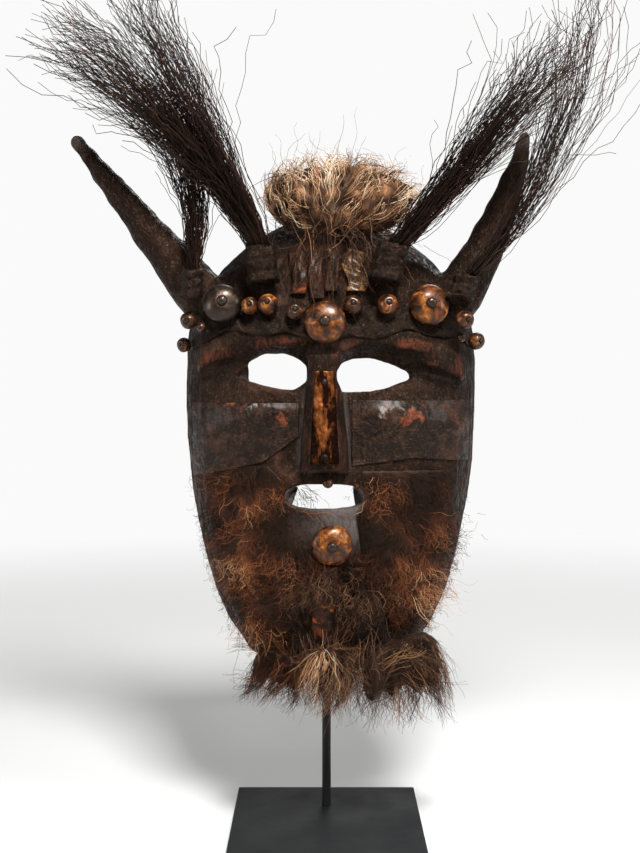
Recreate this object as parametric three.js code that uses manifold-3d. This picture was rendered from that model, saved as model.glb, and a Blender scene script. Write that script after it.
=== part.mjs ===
// A horned dance mask of carved wood, trimmed with hair, fur, hide and bosses, on a steel stand.
// Millimetres, +Z up. The face looks towards -Y, and +X is on the right of someone facing it.
// The origin is the centre of the base plate's underside.

import * as THREE from 'three';
import { mergeVertices } from 'three/addons/utils/BufferGeometryUtils.js';
import Module from 'manifold-3d';

const wasm = await Module();
wasm.setup();

// Stand.
const plateWidth = 127;
const plateDepth = 127;
const plateThickness = 8;
const plateChamfer = 0.8;
const rodDiameter = 6;
const rodSetBack = 28;
const rodSocketDepth = 5;
const rodBendRadius = 13;
const padWidth = 26;
const padHeight = 34;
const padThickness = 3;
const screwDiameter = 3;
const screwHeadDiameter = 6;
const screwHeadHeight = 1.8;
const screwBite = 5;
const screwSpacing = 22;

// Wooden mask.
const chinClearance = 95;
const maskSideways = 2.8;
const rimClearance = 3;
const maskWidth = 196;
const maskHeight = 310;
const maskDepth = 45;
const wallThickness = 9;
const edgeDepth = 14;
const edgeWidth = 4.5;
const browHeight = 7;
const browWidth = 11;
const browUndercut = 4.5;
const socketDepth = 6;
const glabellaDip = 4;
const cheekRise = 4;
const muzzleRise = 6;
const upperLipRise = 2;
const lowerLipRise = 2.5;
const chinRise = 6;
const foreheadRise = 3;
const leftEyeWidth = 48;
const rightEyeWidth = 51.5;
const eyeHeight = 23;
const eyeSpacing = 67;
const eyePocketDepth = 6;
const leftPocketWidth = 9;
const rightPocketWidth = 6;
const mouthWidth = 52;
const mouthHeight = 17;
const noseTopWidth = 20;
const noseBottomWidth = 32;
const noseTopRise = 7;
const noseBottomRise = 19;
const noseUndercut = 3;
const hornBaseDiameter = 39;
const hornTipDiameter = 8;
const leftHornLength = 150;
const rightHornLength = 133;

// Trimmings.
const contactGap = 0.3;
const stripThickness = 1.2;
const stripWidthShare = 0.58;
const nailHeadDiameter = 4.2;
const nailShankDiameter = 1.8;
const nailLength = 7;
const bandWidth = 20;
const bandThickness = 2.4;
const hideThickness = 1.6;
const wrapThickness = 2.6;
const wrapLength = 24;
const wrapSeat = 9;
const hairNeck = 17;
const hairLength = 240;
const bossShare = 0.13;
const bossDiameter = maskWidth * bossShare;
const bossHeight = 9;
const pinDiameter = 7.4;
const pinProjection = 3.2;
const pinBite = 4;
const beadShare = 0.0694;
const beadDiameter = maskWidth * beadShare;
const lipBeadDiameter = 6.6;
const furThickness = 9;
const leatherStripThickness = 2.6;
const leatherStripWidth = 28;
const beardLength = 54;
const beardGirth = 8.5;
const topknotWidth = 104;
const topknotHeight = 54;
const topknotDepth = 46;

// Places on the face are shares: s runs from -1 to 1 across the half width, and t from the chin's
// lowest point at 0 to the crown at 1. The carving's proportions are shares of the mask too.
const halfWidth = maskWidth / 2;
const rimY = rodSetBack - rodDiameter / 2 - rimClearance;
const chinZ = plateThickness + chinClearance;
const noseShare = -0.045;
const eyeShare = 0.66;
const mouthShare = 0.406;
const noseTopShare = 0.7;
const noseBottomShare = 0.464;
const padShare = 0.2;

const woodLook = { color: 0x2b1c15, roughness: 0.45, metalness: 0 };
const amber = { color: 0x8a4a16, roughness: 0.25, metalness: 0 };
const darkAmber = { color: 0x3a2a22, roughness: 0.35, metalness: 0 };
const leather = { color: 0x33241d, roughness: 0.7, metalness: 0 };
const hide = { color: 0x5a3524, roughness: 0.3, metalness: 0 };
const paleHide = { color: 0xa06a3a, roughness: 0.35, metalness: 0 };
const horsehair = { color: 0x2a1a16, roughness: 0.6, metalness: 0 };
const fur = { color: 0x6b4128, roughness: 0.8, metalness: 0 };
const paleFur = { color: 0x9c7350, roughness: 0.8, metalness: 0 };
const steel = { color: 0x17181a, roughness: 0.5, metalness: 0.6 };
const copper = { color: 0x8a4f22, roughness: 0.4, metalness: 0.7 };

const group = new THREE.Group();

// Shared helpers.

const mix = THREE.MathUtils.lerp;
const clamp = THREE.MathUtils.clamp;
const spread = (count, place) => Array.from({ length: count + 1 }, (_, k) => place(k / count));
const smooth = (from, to, x) => THREE.MathUtils.smoothstep(x, from, to);
const bump = (a, b) => Math.exp(-a * a - b * b);

// A curve through pairs of a place and a value, read at any place.
function profile(pairs) {
  const places = pairs.map((pair) => pair[0]);
  const values = pairs.map((pair) => pair[1]);
  const curve = new THREE.CubicInterpolant(places, values, 1);
  return (place) => curve.evaluate(clamp(place, places[0], places.at(-1)))[0];
}

function toManifold(geometry) {
  geometry.deleteAttribute('normal');
  geometry.deleteAttribute('uv');
  const merged = mergeVertices(geometry, 1e-4);
  const vertProperties = new Float32Array(merged.attributes.position.array);
  const triVerts = new Uint32Array(merged.index.array);
  return new wasm.Manifold(new wasm.Mesh({ numProp: 3, vertProperties, triVerts }));
}

function toGeometry(manifold) {
  const cut = manifold.getMesh();
  const geometry = new THREE.BufferGeometry();
  const places = new Float32Array(cut.vertProperties);
  geometry.setAttribute('position', new THREE.BufferAttribute(places, 3));
  geometry.setIndex(new THREE.BufferAttribute(new Uint32Array(cut.triVerts), 1));
  return geometry;
}

function join(manifolds) {
  return manifolds.reduce((sum, next) => sum.add(next));
}

function addPiece(name, manifold, look) {
  const mesh = new THREE.Mesh(toGeometry(manifold), new THREE.MeshStandardMaterial(look));
  mesh.name = name;
  group.add(mesh);
}

// A closed body between two grids of points, each a list of rows; the first grid is the outer one.
function slab(outer, inner) {
  const rows = outer.length;
  const columns = outer[0].length;
  const points = [...outer.flat(), ...inner.flat()];
  const at = (layer, i, j) => layer * rows * columns + i * columns + j;
  const faces = [];
  const quad = (a, b, c, d) => faces.push(a, b, c, a, c, d);
  for (let i = 0; i < rows - 1; i += 1) {
    for (let j = 0; j < columns - 1; j += 1) {
      quad(at(0, i, j), at(0, i, j + 1), at(0, i + 1, j + 1), at(0, i + 1, j));
      quad(at(1, i, j), at(1, i + 1, j), at(1, i + 1, j + 1), at(1, i, j + 1));
    }
  }
  for (let j = 0; j < columns - 1; j += 1) {
    quad(at(0, 0, j + 1), at(0, 0, j), at(1, 0, j), at(1, 0, j + 1));
    quad(at(0, rows - 1, j), at(0, rows - 1, j + 1), at(1, rows - 1, j + 1), at(1, rows - 1, j));
  }
  for (let i = 0; i < rows - 1; i += 1) {
    quad(at(0, i, 0), at(0, i + 1, 0), at(1, i + 1, 0), at(1, i, 0));
    const last = columns - 1;
    quad(at(0, i + 1, last), at(0, i, last), at(1, i, last), at(1, i + 1, last));
  }
  const geometry = new THREE.BufferGeometry();
  const places = points.flatMap((point) => point.toArray());
  geometry.setAttribute('position', new THREE.Float32BufferAttribute(places, 3));
  geometry.setIndex(faces);
  return toManifold(geometry);
}

// A closed tube along a list of points, with a radius at each.
function tube(points, radii, sides) {
  const rings = [];
  const side = new THREE.Vector3(1, 0, 0);
  points.forEach((point, k) => {
    const next = points[Math.min(k + 1, points.length - 1)];
    const ahead = next.clone().sub(points[Math.max(k - 1, 0)]).normalize();
    side.addScaledVector(ahead, -side.dot(ahead)).normalize();
    const up = new THREE.Vector3().crossVectors(ahead, side);
    const ring = [];
    for (let n = 0; n < sides; n += 1) {
      const angle = (2 * Math.PI * n) / sides;
      const offset = side.clone().multiplyScalar(Math.cos(angle) * radii[k]);
      offset.addScaledVector(up, Math.sin(angle) * radii[k]);
      ring.push(point.clone().add(offset));
    }
    rings.push(ring);
  });
  const vertices = [...rings.flat(), points[0], points.at(-1)];
  const start = vertices.length - 2;
  const end = vertices.length - 1;
  const faces = [];
  for (let k = 0; k < rings.length; k += 1) {
    for (let n = 0; n < sides; n += 1) {
      const here = k * sides + n;
      const next = k * sides + ((n + 1) % sides);
      if (k === 0) faces.push(start, next, here);
      if (k === rings.length - 1) {
        faces.push(end, here, next);
      } else {
        faces.push(here, next, next + sides, here, next + sides, here + sides);
      }
    }
  }
  const geometry = new THREE.BufferGeometry();
  const places = vertices.flatMap((vertex) => vertex.toArray());
  geometry.setAttribute('position', new THREE.Float32BufferAttribute(places, 3));
  geometry.setIndex(faces);
  return toManifold(geometry);
}

// A turned body: pairs of radius and height, from the axis to the axis, standing on a point and
// pointing along a direction.
function turned(pairs, sides, foot, direction) {
  const geometry = new THREE.LatheGeometry(pairs.map((pair) => new THREE.Vector2(...pair)), sides);
  const turn = new THREE.Quaternion().setFromUnitVectors(new THREE.Vector3(0, 1, 0), direction);
  geometry.applyQuaternion(turn);
  geometry.translate(foot.x, foot.y, foot.z);
  return toManifold(geometry);
}

// A straight round bar between two points.
function bar(from, to, diameter, sides) {
  return tube([from, to], [diameter / 2, diameter / 2], sides);
}

// An outline of points in X and Z, swept along Y from one depth to another.
function prism(points, fromY, toY) {
  const shape = new THREE.Shape(points.map((point) => new THREE.Vector2(point[0], point[1])));
  const geometry = new THREE.ExtrudeGeometry(shape, { depth: toY - fromY, bevelEnabled: false });
  geometry.rotateX(Math.PI / 2);
  geometry.translate(0, toY, 0);
  return toManifold(geometry);
}

// The face.

const noseX = maskSideways + noseShare * halfWidth;
const faceX = (s) => maskSideways + s * halfWidth;
const faceZ = (t) => chinZ + t * maskHeight;
const shareX = (x) => (x - maskSideways) / halfWidth;

// The outline: half width up the side, and the chin's and the crown's curves across it.
const sideShare = profile([
  [0, 0.42], [0.034, 0.557], [0.074, 0.661], [0.116, 0.72], [0.17, 0.786], [0.256, 0.855],
  [0.341, 0.905], [0.436, 0.957], [0.547, 0.985], [0.663, 1], [0.772, 0.994], [0.872, 0.962],
  [0.942, 0.87], [1, 0.72],
]);
const chinCurve = (across) => 0.03 * across * across;
const crownCurve = (across) => 1 - 0.11 * Math.abs(across) ** 2.3;

// The brow ridge's lower edge, dipping at the nose and falling to the temples.
const browCurve = profile([
  [0, 0.697], [0.2, 0.711], [0.35, 0.715], [0.5, 0.708], [0.65, 0.692], [0.8, 0.671], [1, 0.64],
]);
const browTilt = -0.009;
const browEdge = (s) => browCurve(Math.abs(s - noseShare)) + browTilt * s;

// A place on the outline's own grid: across from -1 to 1 and up from 0 to 1.
function gridToShare(across, up) {
  const t = mix(chinCurve(across), crownCurve(across), up);
  return [across * sideShare(up), t];
}

function shareToGrid(s, t) {
  let across = 0;
  let up = t;
  for (let round = 0; round < 14; round += 1) {
    across = clamp(s / sideShare(up), -1, 1);
    up = clamp((t - chinCurve(across)) / (crownCurve(across) - chinCurve(across)), 0, 1);
  }
  return [across, up];
}

// Carving that stands out from the plain form, or goes into it, in millimetres.
function relief(s, t) {
  const fromNose = Math.abs(s - noseShare);
  const above = (t - browEdge(s)) * maskHeight;
  const underBrow = 1 - smooth(-browUndercut, 0, above - 0.1 * browUndercut);
  const ridge = browHeight * (1 - underBrow) * (1 - smooth(browWidth, browWidth * 2, above));
  const socket = socketDepth * underBrow * smooth(-0.11 * maskHeight, -0.05 * maskHeight, above);
  const glabella = glabellaDip * bump(fromNose / 0.09, (t - 0.715) / 0.03);
  const cheek = cheekRise * bump((fromNose - 0.5) / 0.28, (t - 0.555) / 0.07);
  const muzzle = muzzleRise * bump(fromNose / 0.4, (t - 0.4) / 0.075);
  const upperLip = upperLipRise * bump(fromNose / 0.34, (t - 0.446) / 0.012);
  const lowerLip = lowerLipRise * bump(fromNose / 0.34, (t - 0.366) / 0.013);
  const chin = chinRise * bump(fromNose / 0.36, (t - 0.27) / 0.08);
  const forehead = foreheadRise * bump(fromNose / 0.5, (t - 0.85) / 0.1);
  return ridge - socket - glabella + cheek + muzzle + upperLip + lowerLip + chin + forehead;
}

// How far the wood stands in front of the rim's plane.
function depthOnGrid(across, up) {
  const edge = edgeWidth / halfWidth;
  const upright = 2 * up - 1;
  const facet = clamp((1 - Math.abs(across)) / edge, 0, 1) * clamp((1 - Math.abs(upright)) / edge, 0, 1);
  const inX = Math.min(Math.abs(across) / (1 - edge), 1);
  const inZ = Math.min(Math.abs(upright) / (1 - edge), 1);
  const dome = (1 - inX ** 2.6) ** 0.48 * (1 - inZ ** 3.2) ** 0.5;
  const [s, t] = gridToShare(across, up);
  return facet * edgeDepth + dome * (maskDepth - edgeDepth) + relief(s, t) * Math.sqrt(dome);
}

const frontY = (s, t) => rimY - depthOnGrid(...shareToGrid(s, t));

// Grid lines: closer together at the mouth, at the eyes and brow, and at the edges.
function acrossLines(count) {
  const inner = 1 - edgeWidth / halfWidth;
  const lines = [-1];
  for (let i = 0; i <= count; i += 1) {
    const w = (2 * i) / count - 1;
    lines.push(inner * (0.78 * w + 0.22 * Math.sin((w * Math.PI) / 2)));
  }
  return [...lines, 1];
}

function upLines(bands) {
  const lines = [0, edgeWidth / maskHeight];
  for (const [from, to, count] of bands) {
    for (let i = 0; i < count; i += 1) lines.push(mix(from, to, i / count));
  }
  return [...lines, 1 - edgeWidth / maskHeight, 1];
}

const faceColumns = acrossLines(17);
const faceRows = upLines([
  [0.04, 0.34, 4], [0.34, 0.48, 4], [0.48, 0.64, 3], [0.64, 0.77, 6], [0.77, 0.97, 4],
]);

function faceBody() {
  const rimLand = 1;
  const front = faceRows.map((up) => faceColumns.map((across) => {
    const [s, t] = gridToShare(across, up);
    return new THREE.Vector3(faceX(s), rimY - Math.max(depthOnGrid(across, up), rimLand), faceZ(t));
  }));
  const back = front.map((row) => row.map((point) => point.clone().setY(rimY)));
  return slab(front, back);
}

// The hollow behind the face keeps the wall's thickness, and half of the carving's relief.
function hollowY(s, t) {
  const depth = rimY - frontY(s, t) - relief(s, t) / 2 - wallThickness;
  return rimY - Math.max(depth, wallThickness / 2);
}

function hollowBody() {
  const inset = (share, size) => share * (1 - wallThickness / size);
  const columns = acrossLines(8).slice(1, -1);
  const rows = upLines([[0.03, 0.6, 5], [0.6, 0.97, 4]]).slice(1, -1);
  const front = rows.map((up) => columns.map((across) => {
    const [s, t] = gridToShare(across, up);
    const inner = [inset(s, halfWidth), 0.5 + inset(t - 0.5, maskHeight / 2)];
    return new THREE.Vector3(faceX(inner[0]), hollowY(...inner), faceZ(inner[1]));
  }));
  const back = front.map((row) => row.map((point) => point.clone().setY(rimY + wallThickness)));
  return slab(front, back);
}

// The nose is a block with a flat front and slanted sides, widening downwards.
const noseRoot = frontY(noseShare, noseTopShare) - noseTopRise;
const noseTip = frontY(noseShare, noseBottomShare) - noseBottomRise;
const noseDown = (t) => clamp((noseTopShare - t) / (noseTopShare - noseBottomShare), 0, 1);
const noseFrontY = (t) => mix(noseRoot, noseTip, noseDown(t));
const noseHalf = (t) => mix(noseTopWidth, noseBottomWidth, noseDown(t)) / 2;

function noseBody() {
  const stations = [0, 0.33, 0.66, 0.95, 1].map((down) => mix(noseTopShare, noseBottomShare, down));
  const outer = [];
  const inner = [];
  stations.forEach((t, k) => {
    const last = k === stations.length - 1;
    const half = noseHalf(t);
    const ahead = noseFrontY(t) + (last ? noseUndercut : 0);
    const behind = frontY(noseShare, t) + wallThickness / 3;
    const shoulder = mix(ahead, behind, 0.45);
    const row = [
      [-half, behind], [-half * 0.98, shoulder], [-half * 0.62, ahead],
      [half * 0.62, ahead], [half * 0.98, shoulder], [half, behind],
    ];
    outer.push(row.map(([x, y]) => new THREE.Vector3(noseX + x, y, faceZ(t))));
    inner.push(row.map(([x]) => new THREE.Vector3(noseX + x, behind + wallThickness / 9, faceZ(t))));
  });
  return slab(outer.reverse(), inner.reverse());
}

// A horn: thick at the brow's corner, leaning outwards and straightening towards its tip.
function hornBody(side, length, rootLean, tipLean) {
  const stations = 6;
  const rootSwell = 0.8;
  const point = new THREE.Vector3(faceX(side * 0.74), rimY - hornBaseDiameter / 2, faceZ(0.775));
  const points = [point.clone()];
  const radii = [(hornBaseDiameter * rootSwell) / 2];
  for (let k = 1; k <= stations; k += 1) {
    const along = k / stations;
    const lean = THREE.MathUtils.degToRad(mix(rootLean, tipLean, along));
    point.x += (side * Math.sin(lean) * length) / stations;
    point.z += (Math.cos(lean) * length) / stations;
    points.push(point.clone());
    const swell = mix(rootSwell, 1, smooth(0, 0.15, along));
    radii.push((mix(hornBaseDiameter, hornTipDiameter, along) * swell) / 2);
  }
  points.push(point.clone().add(new THREE.Vector3(side, 0, 1).multiplyScalar(0.19 * hornTipDiameter)));
  radii.push(hornTipDiameter / 4);
  return tube(points, radii, 10);
}

const uncutWood = join([
  faceBody(),
  noseBody(),
  hornBody(-1, leftHornLength, 40, 38),
  hornBody(1, rightHornLength, 38, 15),
]);

// What is put on lies on the ground under it: the front of the wood and of the pieces put on before.
const probe = new THREE.Raycaster();

function groundOf(...manifolds) {
  const bothSides = new THREE.MeshBasicMaterial({ side: THREE.DoubleSide });
  const mesh = new THREE.Mesh(toGeometry(join(manifolds)), bothSides);
  return (x, z) => {
    probe.set(new THREE.Vector3(x, -maskWidth, z), new THREE.Vector3(0, 1, 0));
    const hits = probe.intersectObject(mesh);
    return hits.length > 0 ? hits[0].point.y : rimY;
  };
}

function onGround(ground, s, t, proud = 0) {
  return new THREE.Vector3(faceX(s), ground(faceX(s), faceZ(t)) - proud, faceZ(t));
}

// The way a trimming points: between the ground's slope and straight ahead.
function outward(ground, s, t) {
  const step = 0.03;
  const across = onGround(ground, s + step, t).sub(onGround(ground, s - step, t));
  const upwards = onGround(ground, s, t + step).sub(onGround(ground, s, t - step));
  const slope = new THREE.Vector3().crossVectors(across, upwards).normalize();
  return slope.add(new THREE.Vector3(0, -1.3, 0)).normalize();
}

// The foot of a round trimming, brought down until it rests on the ground. Outside its foot its
// underside rises by `flare` for each millimetre, out to its full radius.
function seatOn(ground, s, t, footRadius, radius, flare) {
  const direction = outward(ground, s, t);
  const middle = onGround(ground, s, t);
  let highest = -footRadius;
  const rays = 44;
  for (let share = 0; share <= 1.3; share += 0.065) {
    for (let k = 0; k < rays; k += 1) {
      const angle = (2 * Math.PI * k) / rays;
      const x = middle.x + Math.cos(angle) * radius * share;
      const z = middle.z + Math.sin(angle) * radius * share;
      const reach = new THREE.Vector3(x, ground(x, z), z).sub(middle);
      const height = reach.dot(direction);
      const sideways = Math.sqrt(Math.max(0, reach.lengthSq() - height * height));
      const underside = Math.max(0, sideways - footRadius) * flare;
      if (sideways <= radius + contactGap) highest = Math.max(highest, height - underside);
    }
  }
  return { direction, foot: middle.addScaledVector(direction, highest + 1.5 * contactGap) };
}

// Openings and the pad's flat seat.

// An eye's upper and lower line: pairs of heights in half eye heights, at shares from the outer corner
// to the inner one. The outer corner is sharp and the inner one is blunt.
const leftEyeLines = [[0, -0.19, -0.19], [0.2, 0.71, -0.47], [0.4, 1.1, -0.7], [0.66, 1.12, -0.9],
  [0.78, 0.96, -0.92], [0.88, 0.74, -0.7], [0.96, 0.42, -0.42]];
const rightEyeLines = [[0, -0.19, -0.19], [0.14, 0.18, -0.42], [0.36, 0.62, -0.82], [0.58, 0.88, -1],
  [0.79, 0.85, -1.03], [0.93, 0.62, -1.02], [1, 0.15, -0.3]];

// The outline of an eye; `side` is -1 for the eye at the left of the picture.
function eyeOutline(side) {
  const lines = side < 0 ? leftEyeLines : rightEyeLines;
  const width = side < 0 ? leftEyeWidth : rightEyeWidth;
  const centre = noseX + (side * eyeSpacing) / 2;
  const place = (along, height) => {
    return [centre + side * (0.5 - along) * width, faceZ(eyeShare) + (height * eyeHeight) / 2];
  };
  const upper = lines.map(([along, high]) => place(along, high));
  const lower = lines.slice(1).map(([along, , low]) => place(along, low));
  return upper.concat(lower.reverse());
}

function mouthOutline() {
  const steps = 14;
  const points = [];
  for (let k = 0; k < steps; k += 1) {
    const angle = (2 * Math.PI * k) / steps;
    const x = Math.sign(Math.cos(angle)) * Math.abs(Math.cos(angle)) ** 0.8 * (mouthWidth / 2);
    const z = Math.sign(Math.sin(angle)) * Math.abs(Math.sin(angle)) ** 0.7 * (mouthHeight / 2);
    points.push([noseX + x, faceZ(mouthShare) + z]);
  }
  return points;
}

const behindRim = rimY + wallThickness;
const aheadOfFace = rimY - 2 * maskDepth;

// The eye is cut right through except for a shallow pocket at its outer corner.
function eyeCut(side) {
  const outline = eyeOutline(side);
  const pocketWidth = side < 0 ? leftPocketWidth : rightPocketWidth;
  const outerEnd = outline[0][0];
  const pocket = new THREE.BoxGeometry(2 * pocketWidth, maskDepth, 2 * eyeHeight);
  const floorY = frontY(shareX(outerEnd - side * pocketWidth), eyeShare) + eyePocketDepth;
  pocket.translate(outerEnd, floorY + maskDepth / 2, faceZ(eyeShare));
  return prism(outline, aheadOfFace, behindRim).subtract(toManifold(pocket));
}

const padZ = faceZ(padShare);
const padSeatY = hollowY(shareX(0), padShare);

function padSeat() {
  const deep = behindRim - padSeatY;
  const box = new THREE.BoxGeometry(padWidth + 4 * contactGap, deep, padHeight + 4 * contactGap);
  box.translate(0, padSeatY + deep / 2, padZ);
  return toManifold(box);
}

// Nails, screws and pegs, and the holes that they sit in.

const nailPlaces = [['top', 0.645], ['bottom', 0.493]];
const screwPlaces = [['top', padZ + screwSpacing / 2], ['bottom', padZ - screwSpacing / 2]];
const noseSlope = (noseRoot - noseTip) / ((noseTopShare - noseBottomShare) * maskHeight);
const noseAhead = new THREE.Vector3(0, -1, noseSlope).normalize();
const onNose = (t, proud) => {
  return new THREE.Vector3(noseX, noseFrontY(t), faceZ(t)).addScaledVector(noseAhead, proud);
};

function nail(t) {
  const head = nailHeadDiameter / 2;
  const shank = nailShankDiameter / 2;
  const rise = head * 0.55;
  const pairs = [
    [0, -nailLength], [shank, -nailLength], [shank, 0], [head, 0], [head * 0.75, rise * 0.75], [0, rise],
  ];
  return turned(pairs, 7, onNose(t, stripThickness + 2 * contactGap), noseAhead);
}

function nailHole(t) {
  const deep = nailLength - stripThickness;
  return bar(onNose(t, 2 * stripThickness), onNose(t, -deep), nailShankDiameter + 2 * contactGap, 6);
}

function screw(z) {
  const shank = screwDiameter / 2;
  const head = screwHeadDiameter / 2;
  const foot = new THREE.Vector3(0, padSeatY + 2 * contactGap + padThickness, z);
  const length = padThickness + screwBite;
  const pairs = [
    [0, -length], [shank, -length], [shank, 0], [head, 0],
    [head, screwHeadHeight * 0.5], [0, screwHeadHeight],
  ];
  return turned(pairs, 8, foot, new THREE.Vector3(0, 1, 0));
}

function screwHole(z) {
  const from = new THREE.Vector3(0, padSeatY - screwBite - contactGap, z);
  const to = new THREE.Vector3(0, padSeatY + padThickness * 2, z);
  return bar(from, to, screwDiameter + 2 * contactGap, 8);
}

// Bosses and beads: place, size, and whether a peg holds it.

const bossPlaces = [
  { name: 'brow_boss_left', s: -0.715, t: 0.8, size: 0.93, look: darkAmber },
  { name: 'brow_boss_centre', s: -0.039, t: 0.763, size: 1.02, look: amber },
  { name: 'brow_boss_right', s: 0.635, t: 0.8, size: 0.98, look: amber },
  { name: 'chin_boss', s: 0.004, t: 0.308, size: 1, look: amber },
];
const beadPlaces = [
  { s: -0.96, t: 0.721, size: 0.735 },
  { s: -0.915, t: 0.774, size: 0.882 },
  { s: -0.835, t: 0.757, size: 0.485 },
  { s: -0.522, t: 0.795, size: 0.824 },
  { s: -0.405, t: 0.798, size: 0.941 },
  { s: -0.237, t: 0.785, size: 0.824 },
  { s: 0.141, t: 0.796, size: 0.926 },
  { s: 0.359, t: 0.797, size: 1 },
  { s: 0.845, t: 0.772, size: 0.956 },
  { s: 0.84, t: 0.737, size: 0.485 },
  { s: 0.935, t: 0.731, size: 0.882 },
];

const bossFoot = 0.88;
const bossBulge = 0.28;
const beadFoot = 0.72;
const beadBulge = 0.7;

function boss(place, seat) {
  const r = (bossDiameter / 2) * place.size;
  const h = bossHeight;
  const pairs = [
    [0, 0], [r * bossFoot, 0], [r, h * bossBulge], [r * 0.9, h * 0.68], [r * 0.55, h], [0, h],
  ];
  return turned(pairs, 10, seat.foot, seat.direction).subtract(pinHole(seat));
}

function pin(seat) {
  const r = pinDiameter / 2;
  const top = bossHeight + pinProjection;
  const foot = -bandThickness - pinBite;
  const pairs = [
    [0, foot], [r, foot], [r, top - r * 0.35], [r * 0.7, top], [r * 0.3, top], [0, top - r * 0.3],
  ];
  return turned(pairs, 7, seat.foot, seat.direction);
}

function pinHole({ foot, direction }) {
  const from = foot.clone().addScaledVector(direction, -bandThickness - pinBite - contactGap);
  const to = foot.clone().addScaledVector(direction, 2 * bossHeight);
  return bar(from, to, pinDiameter + 4 * contactGap, 7);
}

function bossSeat(ground, place) {
  const r = (bossDiameter / 2) * place.size;
  const flare = (bossHeight * bossBulge) / (r * (1 - bossFoot));
  return seatOn(ground, place.s, place.t, r * bossFoot, r, flare);
}

function beadSeat(ground, s, t, diameter) {
  const r = diameter / 2;
  return seatOn(ground, s, t, r * beadFoot, r, beadBulge / (1 - beadFoot));
}

function bead(diameter, { foot, direction }) {
  const r = diameter / 2;
  const pairs = [[0, 0], [r * beadFoot, 0], [r, r * beadBulge], [r * 0.66, r * 1.42], [0, r * 1.7]];
  return turned(pairs, 7, foot, direction);
}

// Coats of hide, leather and fur that follow the wood.

// Rows of shares make the coat's grid, and `thick` gives its thickness at each place. Its back rests
// on the ground's high points: where the ground would stand through a cell, the cell's corners rise.
function coat(ground, places, thick) {
  const back = places.map((row) => row.map(([s, t]) => onGround(ground, s, t, contactGap)));
  const lift = places.map((row) => row.map(() => 0));
  const shares = spread(8, (share) => share);
  for (let i = 0; i < back.length - 1; i += 1) {
    for (let j = 0; j < back[0].length - 1; j += 1) {
      const corners = [[i, j], [i, j + 1], [i + 1, j + 1], [i + 1, j]];
      const [a, b, c, d] = corners.map(([row, column]) => back[row][column]);
      let through = 0;
      for (const u of shares) {
        for (const v of shares) {
          const [first, second] = u >= v ? [b, v] : [d, u];
          const turn = u >= v ? u - v : v - u;
          const middle = a.clone().lerp(c, second).addScaledVector(first.clone().sub(a), turn);
          through = Math.max(through, middle.y + contactGap - ground(middle.x, middle.z));
        }
      }
      const rise = through > 0 ? through + 0.6 * contactGap : 0;
      for (const [row, column] of corners) lift[row][column] = Math.max(lift[row][column], rise);
    }
  }
  back.forEach((row, i) => row.forEach((point, j) => point.setY(point.y - lift[i][j])));
  const front = back.map((row, i) => row.map((point, j) => {
    return point.clone().setY(point.y - thick(i, j, ...places[i][j]));
  }));
  return slab(front, back);
}

const edgeFall = (u) => Math.sqrt(Math.max(0, 1 - (2 * u - 1) ** 4));

// A band across the brow, from temple to temple.
const bandCurve = profile([
  [0, 0.757], [0.2, 0.766], [0.5, 0.777], [0.7, 0.775], [0.85, 0.762], [1, 0.735],
]);

function headband(ground) {
  const half = bandWidth / 2 / maskHeight;
  const rows = spread(2, (v) => spread(15, (u) => {
    const s = mix(-0.95, 0.95, u);
    const wavy = 0.004 * Math.sin(31 * s + 4 * v);
    return [s, bandCurve(Math.abs(s)) + (2 * v - 1) * half + wavy];
  }));
  return coat(ground, rows, (i, j, s) => bandThickness * (0.75 + 0.25 * Math.sin(47 * s + 2.1 * i)));
}

function hidePatch(ground, cells, from, to, top, bottom, folds) {
  const rows = spread(cells[1], (v) => spread(cells[0], (u) => {
    const s = mix(from, to, u);
    return [s, mix(bottom(s), top(s), v)];
  }));
  return coat(ground, rows, (i, j, s, t) => hideThickness * (1 + folds(s, t)));
}

// Fur that lies on the cheek in locks, hanging down and slightly outwards.
function cheekFur(ground, side, leftEdge, rightEdge, from, to) {
  const cells = [6, 9];
  const rows = spread(cells[1], (v) => {
    const t = mix(from, to, v);
    return spread(cells[0], (u) => [mix(leftEdge(t), rightEdge(t), u), t]);
  });
  return coat(ground, rows, (i, j, s, t) => {
    const lock = Math.sin(2.2 * j + 1.3 * i * side) * Math.sin(1.7 * i + 0.6 * j);
    const round = edgeFall(i / cells[1]) * edgeFall(j / cells[0]);
    return furThickness * (0.18 + 0.82 * round) * (0.72 + 0.3 * lock);
  });
}

// A leather strip on the chin, between two places, rounded across and slightly buckled.
function chinStrip(ground, from, to, topWidth, bottomWidth, phase) {
  const rows = spread(5, (v) => {
    const width = (mix(bottomWidth, topWidth, v) * leatherStripWidth) / halfWidth / 2;
    const middle = mix(to[0], from[0], v) + 0.02 * Math.sin(7 * v + phase);
    return spread(3, (u) => [middle + (2 * u - 1) * width, mix(to[1], from[1], v)]);
  });
  return coat(ground, rows, (i, j) => {
    return leatherStripThickness * (1 + 0.5 * edgeFall(j / 3) + 0.5 * Math.sin(1.9 * i + phase));
  });
}

// Keeps a round path in front of the ground, so that it lies on it without sinking in.
function laidOn(ground, path, radii) {
  return path.map((point, k) => {
    const reach = [-1.1, -0.5, 0, 0.5, 1.1];
    const clear = reach.flatMap((u) => reach.map((v) => {
      return ground(point.x + u * radii[k], point.z + v * radii[k]);
    }));
    return point.clone().setY(Math.min(point.y, Math.min(...clear) - radii[k] - contactGap));
  });
}

// The same for a round roll whose own roundness lets it down between high places.
function rolledOn(ground, path, radius) {
  const reach = spread(12, (share) => 2 * share - 1);
  return path.map((point) => {
    const clear = reach.flatMap((u) => reach.map((v) => {
      const round = radius * Math.sqrt(Math.max(0, 1 - u * u - v * v));
      return ground(point.x + u * radius, point.z + v * radius) - round;
    }));
    return point.clone().setY(Math.min(point.y, Math.min(...clear) - 2 * contactGap));
  });
}

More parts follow.
